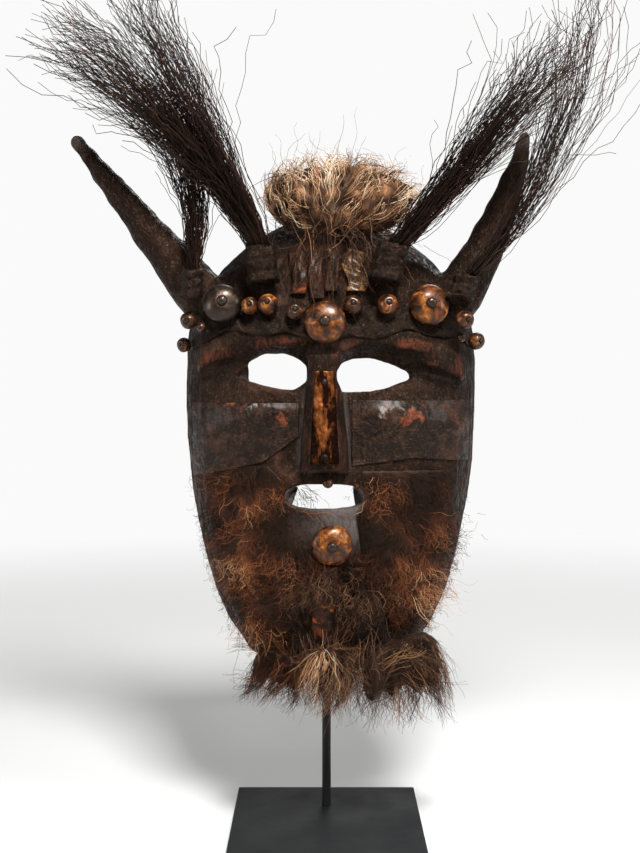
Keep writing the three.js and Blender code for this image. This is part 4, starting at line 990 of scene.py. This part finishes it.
# %% Horsehair bundles
HAIR = {
    "left_outer": {"neck": 10, "ahead": -12, "root": 8, "lengths": (150, 144), "count": 150,
                   "lobes": ((-40, 5, 0.6), (-14, 6, 0.4))},
    "left_inner": {"neck": 15.5, "ahead": 6, "root": -25, "lengths": (212, 195), "count": 430,
                   "lobes": ((-60, 4, 0.55), (-44, 6, 0.1), (-26, 4, 0.35))},
    "right_inner": {"neck": 17, "ahead": 6, "root": 42, "lengths": (178, 185), "count": 260,
                    "lobes": ((37, 2.5, 0.86), (28, 4, 0.07), (44, 3, 0.07))},
    "right_outer": {"neck": 11, "ahead": -4, "root": 45, "lengths": (240, 205), "count": 105,
                    "lobes": ((1, 2.5, 0.66), (15, 3, 0.27), (28, 5, 0.07))},
}
SEGMENTS = 16
LOCKS = 17
for seed, (name, facts) in enumerate(HAIR.items()):
    random = np.random.default_rng(100 + seed)
    count = facts["count"]
    means, spreads, weights = zip(*facts["lobes"])
    lobe = random.choice(len(means), count, p=weights)
    tip_lean = np.array(means)[lobe] + np.array(spreads)[lobe] * random.normal(0, 1, count)
    order = np.argsort(np.argsort(tip_lean)) / count
    lock_of = np.floor(order * (LOCKS - 0.01)).astype(int)
    members = np.maximum(np.bincount(lock_of, minlength=LOCKS), 1)
    lock_lean = np.bincount(lock_of, tip_lean, LOCKS) / members
    tip_lean = lock_lean[lock_of] + 0.45 * (tip_lean - lock_lean[lock_of]) + random.normal(0, 1.5, count)
    lock_shift = random.normal(0, 1, (LOCKS, 5))[lock_of]
    round_angle = random.uniform(0, 2 * math.pi, count)
    reach = facts["neck"] / 2 * 0.86 * MM * np.sqrt(random.uniform(0, 1, count))
    offset_x = reach * np.cos(round_angle) * 0.6 + (order - 0.5) * facts["neck"] * 0.45 * MM
    roots = BUNDLES[name]["top"] + np.stack([offset_x, reach * np.sin(round_angle), 0 * reach], axis=1)
    roots -= lean_axis(BUNDLES[name]["lean"]) * 5 * MM
    stray = random.uniform(0, 1, count) < 0.04
    tip_lean = np.where(stray, tip_lean + random.normal(0, 26, count), tip_lean)
    ahead = facts["ahead"] + 5 * lock_shift[:, 1] + random.normal(0, 3, count) + (order - 0.5) * 6
    share_of_fan = (tip_lean - min(means)) / (max(means) - min(means) + 1e-9)
    length = facts["lengths"][0] + (facts["lengths"][1] - facts["lengths"][0]) * np.clip(share_of_fan, 0, 1)
    length = length * (1 - 0.55 * random.beta(1.0, 1.7, count)) * (1.01 + 0.02 * lock_shift[:, 2]) * MM
    kinks = random.normal(0, 7, (2, count, SEGMENTS))
    kinks += 6 * random.normal(0, 1, (2, LOCKS, SEGMENTS))[:, lock_of]
    kinks[:, :, -3:] *= 2.4
    kinks = np.where(stray[None, :, None], 1.5 * kinks, kinks)
    root_lean = facts["root"] + random.normal(0, 2, count)
    paths = lock_paths(roots, root_lean, tip_lean, ahead, length, SEGMENTS, kinks)
    share = np.linspace(0, 1, SEGMENTS + 1)[None, :]
    tone = 0.26 + 0.16 * random.normal(0, 1, count)[:, None] + 0.12 * lock_shift[:, 4, None]
    tone = tone + 0.2 * (random.uniform(0, 1, count)[:, None] < 0.06) + 0.1 * share
    thick = random.uniform(0.22, 0.34, count) * MM
    bundle = strand_mesh(f"horsehair_{name}", paths, thick, thick * 0.7, tone)
    finish_piece(bundle, horsehair, "horsehair", f"hair_{name}")

# %% [markdown]
# Fur starts from a base, so that no gap shows between the strands: on each cheek a lumpy domed sheet laid
# on the face, and for the topknot and the tufts the solid's own mass, rebuilt and smoothed; the topknot's
# base is also roughened and a little thinner. Strands are then rooted all over it. Each flows one way,
# stands off the surface and winds into a curl, and neighbours share their flow and curl so that they gather
# into locks.

# %% Fur


FUR_STEPS = 8
FUR_SHARE = np.linspace(0, 1, FUR_STEPS + 1)[None, :]
FACING_OUT = np.array([0.0, -1, 0])


def surface_samples(piece, count, random, keep):
    """Places and normals spread evenly over the faces whose way of facing `keep` accepts."""
    piece.data.calc_loop_triangles()
    triangles = np.zeros(len(piece.data.loop_triangles) * 3, dtype=np.int64)
    piece.data.loop_triangles.foreach_get("vertices", triangles)
    corners = points_of(piece)[triangles.reshape(-1, 3)]
    facing = np.cross(corners[:, 1] - corners[:, 0], corners[:, 2] - corners[:, 0])
    area = np.linalg.norm(facing, axis=1)
    facing = facing / (area[:, None] + 1e-18)
    area = np.where(keep(facing), area, 0)
    chosen = random.choice(len(area), count, p=area / area.sum())
    a, b = random.uniform(0, 1, (2, count, 1))
    a, b = np.where(a + b > 1, 1 - a, a), np.where(a + b > 1, 1 - b, b)
    three = corners[chosen]
    return three[:, 0] + a * (three[:, 1] - three[:, 0]) + b * (three[:, 2] - three[:, 0]), facing[chosen]


def fur_paths(roots, normals, flow, length, rise, curl, turns, random, gather=0.5, clumps=60):
    """Curled strands that leave the surface along their flow and gather into locks."""
    count = len(roots)
    centres = roots[random.choice(count, clumps, replace=False)]
    lock_of = np.argmin(np.linalg.norm(roots[:, None, :] - centres[None], axis=2), axis=1)
    centre = centres[lock_of]
    phase = random.uniform(0, 2 * math.pi, clumps)[lock_of] + random.normal(0, 0.6, count)
    winding = turns * random.uniform(0.6, 1.3, clumps)[lock_of] * random.uniform(0.85, 1.15, count)
    radius = curl * random.uniform(0.5, 1.3, clumps)[lock_of] * random.uniform(0.6, 1.3, count)
    flow = flow + 0.28 * random.normal(0, 1, (clumps, 3))[lock_of]
    flow = unit(flow + 0.1 * random.normal(0, 1, (count, 3)))
    length = length * random.uniform(0.6, 1.15, count)
    rise = rise * random.uniform(0.4, 1.3, count)
    side = unit(np.cross(normals, flow))
    share = FUR_SHARE[:, :, None]
    angle = phase[:, None, None] + 2 * math.pi * winding[:, None, None] * share
    grow = radius[:, None, None] * share ** 0.7
    paths = roots[:, None, :] + flow[:, None, :] * length[:, None, None] * share
    paths = paths + normals[:, None, :] * rise[:, None, None] * np.sin(math.pi * share ** 0.75 * 0.95)
    paths = paths + side[:, None, :] * grow * (np.cos(angle) - np.cos(phase[:, None, None]))
    paths = paths + normals[:, None, :] * grow * 0.8 * np.sin(angle)
    pull = gather * share * (centre - roots)[:, None, :]
    return paths + pull, lock_of


OFF_FACE = RIM - 1.5 * MM


def keep_in_front(paths, ground, gap, loose=True):
    """Pushes strands in front of what is under them, and shortens those that leave the face unless loose."""
    leaving = (ground(paths[:, :, 0], paths[:, :, 2]) > OFF_FACE).any(axis=1) & np.logical_not(loose)
    draw = np.where(leaving, 0.3, 1)[:, None, None]
    paths = paths[:, :1] + (paths - paths[:, :1]) * draw
    limit = ground(paths[:, :, 0], paths[:, :, 2]) - gap
    covered = limit < OFF_FACE
    paths[:, :, 1] = np.where(covered, np.minimum(paths[:, :, 1], limit), paths[:, :, 1])
    return paths


def wisp_paths(ground, random, x, z, spread, lean, length, count, tone):
    """Curls round a place on the face and their tones. They leave at an angle from straight down."""
    across, upward = random.normal(x, spread, count), random.normal(z, 0.7 * spread, count)
    roots = np.stack([across, np.zeros(count), upward], axis=1) * MM
    roots[:, 1] = np.minimum(ground(roots[:, 0], roots[:, 2]), -4 * MM) - 2 * MM
    turn = np.radians(lean + random.normal(0, 22, count))
    flow = np.stack([np.sin(turn), 0 * turn - 0.2, -np.cos(turn)], axis=1)
    clumps = 20 if count > 40 else count
    paths, _ = fur_paths(roots, np.tile(FACING_OUT, (count, 1)), flow, length * MM, 3 * MM, 2.6 * MM, 1.4,
                         random, 0, clumps)
    return paths, tone + random.normal(0, 0.14, count)


def all_wisps(ground, random, wisps):
    """Several groups of curls as one: their paths and their tones."""
    groups = [wisp_paths(ground, random, *wisp) for wisp in wisps]
    return np.concatenate([paths for paths, _ in groups]), np.concatenate([tone for _, tone in groups])


def tone_spots(roots, base, spots):
    """The tone at each root: a base with soft patches of lighter or darker hair."""
    tone = np.full(len(roots), base, dtype=float)
    for x, z, size, change in spots:
        distance = np.hypot(roots[:, 0] - x * MM, roots[:, 2] - z * MM) / (size * MM)
        tone += change * np.exp(-distance ** 2)
    return tone


dressed_face = front_map(wood_face, hide_left, hide_right)

# Where the fur begins and ends across the face at each height, its lighter spots as (x, z, size, change),
# and its loose curls as (x, z, spread, lean, length, count, tone). Sizes are in millimetres.
CHEEKS = {
    "left": {
        "low": 0.085, "high": 0.47, "count": 1500, "seed": 200, "loose": 0.02,
        "from": through([(0.085, -0.5), (0.126, -0.62), (0.18, -0.72), (0.27, -0.8), (0.355, -0.86),
                         (0.41, -0.85), (0.47, -0.62)]),
        "to": through([(0.085, -0.36), (0.126, -0.26), (0.18, -0.2), (0.27, -0.22), (0.355, -0.3),
                       (0.41, -0.22), (0.47, -0.42)]),
        "spots": [(-50, 218, 15, 0.3), (-60, 190, 15, 0.3), (-40, 170, 18, 0.15), (-22, 190, 14, 0.15),
                  (-32, 236, 9, 0.3), (-50, 146, 12, 0.3), (-22, 212, 11, -0.2)],
        "wisps": [(-16, 228, 5, 50, 22, 70, 0.3), (-50, 140, 7, -10, 26, 80, 0.6),
                  (-68, 240, 6, -50, 18, 60, 0.3), (-14, 190, 5, 20, 18, 70, 0.15)],
    },
    "right": {
        "low": 0.083, "high": 0.46, "count": 1500, "seed": 201, "loose": 0.12,
        "from": through([(0.083, 0.46), (0.12, 0.4), (0.19, 0.27), (0.27, 0.2), (0.355, 0.165),
                         (0.41, 0.15), (0.46, 0.2)]),
        "to": through([(0.083, 0.6), (0.12, 0.66), (0.19, 0.75), (0.27, 0.83), (0.355, 0.87),
                       (0.41, 0.87), (0.46, 0.8)]),
        "spots": [(34, 232, 13, 0.25), (68, 212, 13, 0.3), (62, 168, 16, 0.3), (66, 145, 13, 0.3),
                  (50, 190, 18, 0.15), (50, 225, 12, -0.2), (28, 205, 12, -0.2)],
        "wisps": [(32, 232, 7, -20, 13, 110, 0.35), (74, 205, 9, 60, 22, 60, 0.35),
                  (70, 165, 8, 60, 26, 60, 0.75), (30, 185, 6, -20, 18, 80, 0.15)],
    },
}


def dome(u, v):
    """Nothing at all four edges of a patch and 1 in its middle."""
    return np.sin(math.pi * u) * np.sin(math.pi * v)


for name, facts in CHEEKS.items():
    random = np.random.default_rng(facts["seed"])

    def cheek_place(u, v, facts=facts):
        t = facts["low"] + (facts["high"] - facts["low"]) * v
        return facts["from"](t) * (1 - u) + facts["to"](t) * u, t

    base = lay_sheet(
        f"fur_base_{name}", dressed_face, (44, 64), cheek_place,
        lambda u, v, x, z: 0.2 * MM + 4.4 * MM * np.sqrt(np.clip(dome(u, v), 0, 1))
        * (0.8 + 0.5 * lumps(on_front(x, z), 8 * MM, 61)), 0.8 * MM)
    roots, normals = surface_samples(base, facts["count"], random, lambda facing: facing[:, 1] < -0.25)
    outwards = np.clip((roots[:, 0] - FACE_MIDDLE) / HALF_WIDTH, -1, 1)
    swirl = 2 * lumps(roots, 26 * MM, 62) + 0.7 * outwards + random.normal(0, 0.5, len(roots))
    flow = np.stack([np.sin(swirl), 0 * outwards - 0.1, -np.cos(swirl)], axis=1)
    paths, lock_of = fur_paths(roots, normals, flow, 14 * MM, 2.2 * MM, 2.1 * MM, 1.7, random, 0.1)
    wisps, wisp_tone = all_wisps(dressed_face, random, facts["wisps"])
    paths = np.concatenate([paths, wisps])
    loose = random.uniform(0, 1, len(paths)) < facts["loose"]
    paths = keep_in_front(paths, dressed_face, 0.4 * MM, loose)
    tone = tone_spots(roots, 0.16, facts["spots"]) + random.normal(0, 0.1, 60)[lock_of]
    tone = tone + random.normal(0, 0.08, len(roots)) + 0.35 * lumps(roots, 10 * MM, 64)
    # Strands get lighter towards their tips, as bleached tips are, and are lifted above their base as a
    # painted highlight along the strands.
    tone = np.concatenate([tone, wisp_tone])[:, None] + 0.05 + 0.16 * FUR_SHARE
    thick = random.uniform(0.11, 0.17, len(paths)) * MM
    strands = strand_mesh(f"fur_strands_{name}", paths, thick, thick * 0.45, tone)
    places = points_of(base)
    under_tone = tone_spots(places, 0.12, [(x, z, size, 0.85 * c) for x, z, size, c in facts["spots"]])
    under_tone = under_tone + 0.35 * lumps(places, 10 * MM, 64)
    s = (places[:, 0] - FACE_MIDDLE) / HALF_WIDTH
    t = (places[:, 2] - CHIN) / FACE_HEIGHT
    u = np.clip((s - facts["from"](t)) / (facts["to"](t) - facts["from"](t)), 0, 1)
    v = np.clip((t - facts["low"]) / (facts["high"] - facts["low"]), 0, 1)
    inside = np.clip(2 * dome(u, v), 0, 1)
    set_attribute(base, "tone", np.clip(under_tone * inside, 0, 1))
    for piece in (base, strands):
        piece.data.materials.clear()
    cheek = join_pieces(f"goat_fur_{name}", [base, strands])
    finish_piece(cheek, goat_fur, "brown_fur", f"cheek_fur_{name}")

# %% [markdown]
# The topknot is a cushion of pale and orange fur tied over the crown. Its strands fan out from the tie at
# the forehead in streaks: up the front, and over to both sides. Some dark ones fall over the forehead
# instead, and a few stand up. Strands that would leave the cushion are held near its uneven edge.

# %% Topknot
FOREHEAD_WISPS = [
    (-2, 397, 13, 5, 34, 120, 0.1), (24, 396, 12, -5, 34, 100, 0.14), (-24, 394, 8, 15, 28, 50, 0.08),
    (8, 396, 18, 0, 50, 40, 0.12), (-14, 432, 12, 165, 42, 10, 0.1), (28, 430, 12, 200, 40, 9, 0.12),
]
KNOT_CLUMPS = 50
random = np.random.default_rng(300)
knot = cad_copy("topknot", "topknot_base")
remesh(knot, 1.6 * MM)
apply_modifier(knot, "SMOOTH", factor=0.5, iterations=12)
places, normals = points_of(knot), normals_of(knot)
move_points(knot, places + normals * (-3.5 * MM + 1.8 * MM * lumps(places, 9 * MM, 70))[:, None])
knot_low, knot_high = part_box("topknot")
tie = np.array([FACE_MIDDLE + 2 * MM, -8 * MM, knot_low.z - 6 * MM])
roots, normals = surface_samples(knot, 1600, random, lambda facing: facing[:, 2] > -0.97)
fan = unit(roots - tie)
flow = unit(fan - normals * np.sum(fan * normals, axis=1, keepdims=True)) + 0.15 * normals
flow += np.stack([lumps(roots, 11 * MM, seed) for seed in (73, 74, 75)], axis=1)
falls = random.uniform(0, 1, len(roots)) < 0.4 * (roots[:, 2] < 414 * MM) * (roots[:, 1] < -8 * MM)
falling = np.array([0.1, -0.25, -1.0]) + 0.5 * random.normal(0, 1, (len(roots), 3))
flow = np.where(falls[:, None], falling, flow)
reach = np.where(falls, 1.6, random.uniform(0.7, 1.25, len(roots)))
paths, lock_of = fur_paths(roots, normals, flow, 23 * MM * reach, 3 * MM * reach, 2.6 * MM * reach, 1.1,
                           random, 0.6, KNOT_CLUMPS)
middle, half = np.array((knot_low + knot_high) / 2), np.array((knot_high - knot_low) / 2)
out = np.linalg.norm((paths - middle) / half, axis=2)
edge = (1 + 0.5 * lumps(roots, 13 * MM, 76))[:, None]
held = ~falls & (random.uniform(0, 1, len(roots)) > 0.03)
squeeze = np.where((out > edge) & held[:, None], (edge + 0.4 * (out - edge)) / out, 1)
paths = middle + (paths - middle) * squeeze[:, :, None]
tone = 0.52 + 0.8 * lumps(fan * 60 * MM, 8 * MM, 77) + 0.3 * lumps(roots, 10 * MM, 71, (1, 1, 0.4))
tone += random.normal(0, 0.13, KNOT_CLUMPS)[lock_of] + random.normal(0, 0.08, len(roots)) - 0.32 * falls
tone += 0.22 * np.exp(-((roots[:, 0] + 8 * MM) / (18 * MM)) ** 2)
tone -= 0.35 * (1 - smooth_step(398 * MM, 416 * MM, roots[:, 2]))
forehead = front_map(wood_face, headband, forehead_hide, forehead_fold)
wisps, wisp_tone = all_wisps(forehead, random, FOREHEAD_WISPS)
paths = np.concatenate([paths, keep_in_front(wisps, forehead, 0.5 * MM)])
tone = np.concatenate([tone, wisp_tone])[:, None] + 0.2 * FUR_SHARE
thick = np.where(np.arange(len(paths)) < len(roots), 0.24, 0.16) * random.uniform(0.8, 1.2, len(paths)) * MM
strands = strand_mesh("topknot_strands", paths, thick, thick * 0.4, tone)
set_attribute(knot, "tone", np.clip(0.36 + 0.5 * lumps(points_of(knot), 8 * MM, 72), 0, 1))
topknot = join_pieces("fur_topknot", [knot, strands])
finish_piece(topknot, grey_fur, "pale_fur", "topknot")

# %% [markdown]
# Three leather strips hang on the chin, buckled and rubbed, and three tufts hang below them: dark on the
# left, brown in the middle and a large grey-brown one on the right that curls inwards. Loose curls fill
# the gaps between them and lie over the strips.

# %% Chin strips
STRIPS = {
    "left": ((-0.25, 0.2), (-0.2, 0.06), 9, 13, 0.4, dry_leather),
    "centre": ((-0.04, 0.262), (-0.04, 0.03), 13, 15, 1.7, amber_hide),
    "right": ((0.17, 0.262), (0.32, 0.045), 12, 28, 3.1, dry_leather),
}
for seed, (name, (top, bottom, top_width, bottom_width, phase, material)) in enumerate(STRIPS.items()):

    def strip_place(u, v):
        width = (bottom_width + (top_width - bottom_width) * v) * MM / HALF_WIDTH / 2
        middle = bottom[0] + (top[0] - bottom[0]) * v + 0.02 * np.sin(7 * v + phase)
        return middle + (2 * u - 1) * width, bottom[1] + (top[1] - bottom[1]) * v

    strip = lay_sheet(
        f"leather_chin_strip_{name}", dressed_face, (18, 60), strip_place,
        lambda u, v, x, z: 1.6 * MM + 2.8 * MM * edge_fall(u) * (0.5 + 0.4 * np.sin(11 * v + phase))
        + 2.4 * MM * wrinkles(x, z, 7, 70, 86 + seed)
        + 0.8 * MM * lumps(on_front(x, z), 5 * MM, 80 + seed),
        1.4 * MM)
    wear_edges(strip, 0.1 * MM, 0.6 * MM, 0.9, 83 + seed)
    finish_piece(strip, material, "dark_leather", f"chin_strip_{name}")

# %% Chin tufts
TUFTS = {
    "left": {"count": 600, "flow": (-0.7, -0.1, -0.7), "length": 24, "tone": 0.2, "swirl": 0.1, "seed": 90,
             "fur": goat_fur, "slot": "brown_fur", "wisps": [(-18, 125, 8, -20, 32, 240, 0.3)]},
    "centre": {"count": 600, "flow": (-0.15, -0.15, -1), "length": 24, "tone": 0.42, "swirl": 0, "seed": 91,
               "fur": grey_fur, "slot": "pale_fur",
               "wisps": [(2, 124, 15, 0, 30, 240, 0.32), (-8, 172, 9, -12, 15, 240, 0.3),
                         (20, 166, 9, 8, 15, 240, 0.27)]},
    "right": {"count": 900, "flow": (-0.1, -0.1, -0.6), "length": 33, "tone": 0.25, "swirl": 1, "seed": 92,
              "fur": grey_fur, "slot": "pale_fur",
              "wisps": [(26, 125, 9, 8, 34, 200, 0.3), (36, 116, 6, -12, 38, 180, 0.2)]},
}
TUFT_CLUMPS = 30
for name, facts in TUFTS.items():
    random = np.random.default_rng(facts["seed"])
    base = cad_copy(f"beard_{name}", f"tuft_base_{name}")
    remesh(base, 1.5 * MM)
    apply_modifier(base, "SMOOTH", factor=0.5, iterations=30)
    low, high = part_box(f"beard_{name}")
    places = points_of(base)
    drop = high.z - places[:, 2]
    places[:, 2] = high.z - drop * (1 - 0.35 * drop / (high.z - low.z))
    move_points(base, places)
    roots, normals = surface_samples(base, facts["count"], random, lambda facing: facing[:, 1] < 0.6)
    from_centre = unit(roots - np.array((low + high) / 2))
    turning = np.stack([from_centre[:, 2], 0 * from_centre[:, 0], -from_centre[:, 0]], axis=1)
    flow = np.array(facts["flow"]) + facts["swirl"] * turning
    flow = flow - 0.85 * normals * np.sum(flow * normals, axis=1, keepdims=True)
    flow += 0.7 * lumps(roots, 13 * MM, 93)[:, None] * np.array([1, 0, 0.5])
    hang = 0.7 + 0.3 * (roots[:, 2] - low.z) / (high.z - low.z)
    paths, lock_of = fur_paths(roots, normals, flow, facts["length"] * MM * hang, 2.2 * MM, 1.6 * MM, 1.2,
                               random, 0.4, TUFT_CLUMPS)
    tone = facts["tone"] + random.normal(0, 0.16, TUFT_CLUMPS)[lock_of] + random.normal(0, 0.12, len(roots))
    wisps, wisp_tone = all_wisps(dressed_face, random, facts["wisps"])
    paths = keep_in_front(np.concatenate([paths, wisps]), dressed_face, 0.4 * MM)
    tone = np.concatenate([tone, wisp_tone])[:, None] + 0.1 * FUR_SHARE
    thick = random.uniform(0.13, 0.19, len(paths)) * MM
    strands = strand_mesh(f"tuft_strands_{name}", paths, thick, thick * 0.4, tone)
    set_attribute(base, "tone", 0.1 + 0.1 * lumps(points_of(base), 6 * MM, 94))
    tuft = join_pieces(f"fur_tuft_{name}", [base, strands])
    finish_piece(tuft, facts["fur"], facts["slot"], f"beard_{name}")

# %% [markdown]
# The stand keeps its solids, because flat steel needs no more shape than they have; it only gets its coat.

# %% Stand
for node in ("base_plate", "stand_rod", "stand_screw_top", "stand_screw_bottom"):
    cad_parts[node].data.materials.clear()
    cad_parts[node].data.materials.append(powder_coated_steel)

# %% [markdown]
# The studio is a pale floor that fades into a pale surround, so that no horizon shows. One soft light hangs
# above and in front, weaker ones fill from both sides, and one behind lights the hair's outline.

# %% Floor, surround and lights
bpy.ops.object.select_all(action="DESELECT")
bpy.ops.mesh.primitive_plane_add(size=30, location=(0, 0, 0))
floor = bpy.context.active_object
floor.name = "pale_floor"
SURROUND = colour("#fafafa")
FADE_FROM, FADE_TO = 0.35, 1.5
floor_paint, tree, shader, place = new_material("pale_floor_paint", Roughness=0.9)
shader.inputs["Base Color"].default_value = colour("#cfcfce")
distance = add(tree, "ShaderNodeVectorMath", {"operation": "LENGTH"}, {0: place})
fade = add(tree, "ShaderNodeMapRange", {"interpolation_type": "SMOOTHSTEP"},
           {"Value": distance.outputs["Value"], "From Min": FADE_FROM, "From Max": FADE_TO})
glow = add(tree, "ShaderNodeEmission", inputs={"Color": SURROUND, "Strength": 1.0})
faded = add(tree, "ShaderNodeMixShader",
            inputs={0: fade.outputs["Result"], 1: shader.outputs["BSDF"], 2: glow.outputs["Emission"]})
tree.links.new(faded.outputs["Shader"], tree.nodes["Material Output"].inputs["Surface"])
floor.data.materials.append(floor_paint)

world = bpy.data.worlds.new("pale_surround")
bpy.context.scene.world = world
world.use_nodes = True
background = world.node_tree.nodes["Background"]
background.inputs["Color"].default_value = SURROUND
seen = add(world.node_tree, "ShaderNodeLightPath").outputs["Is Camera Ray"]
strength = add(world.node_tree, "ShaderNodeMapRange", inputs={"Value": seen, "To Min": 0.17, "To Max": 1.0})
world.node_tree.links.new(strength.outputs["Result"], background.inputs["Strength"])


def soft_light(name, place, target, size, watts):
    """A square area light that looks at a target."""
    data = bpy.data.lights.new(name, "AREA")
    data.size = size
    data.energy = watts
    light = bpy.data.objects.new(name, data)
    bpy.context.scene.collection.objects.link(light)
    light.location = place
    light.rotation_euler = (Vector(target) - Vector(place)).to_track_quat("-Z", "Y").to_euler()


MASK_MIDDLE = (0, 0, 0.3)
soft_light("top_front_light", (0.22, -0.85, 1.35), MASK_MIDDLE, 0.35, 42)
soft_light("left_fill", (-1.2, -0.5, 0.5), MASK_MIDDLE, 0.5, 6)
soft_light("right_fill", (1.2, -0.6, 0.8), MASK_MIDDLE, 0.5, 9)
soft_light("back_light", (0.3, 1.3, 1.2), MASK_MIDDLE, 0.8, 8)
bpy.context.scene.view_settings.view_transform = "Standard"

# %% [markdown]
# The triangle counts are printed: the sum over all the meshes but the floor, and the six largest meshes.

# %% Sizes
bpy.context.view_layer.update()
pieces = [piece for piece in bpy.data.objects if piece.type == "MESH" and piece != floor]
print("triangles", sum(len(piece.data.loops) - 2 * len(piece.data.polygons) for piece in pieces))
for piece in sorted(pieces, key=lambda piece: -len(piece.data.loops))[:6]:
    print(piece.name, len(piece.data.loops) - 2 * len(piece.data.polygons))
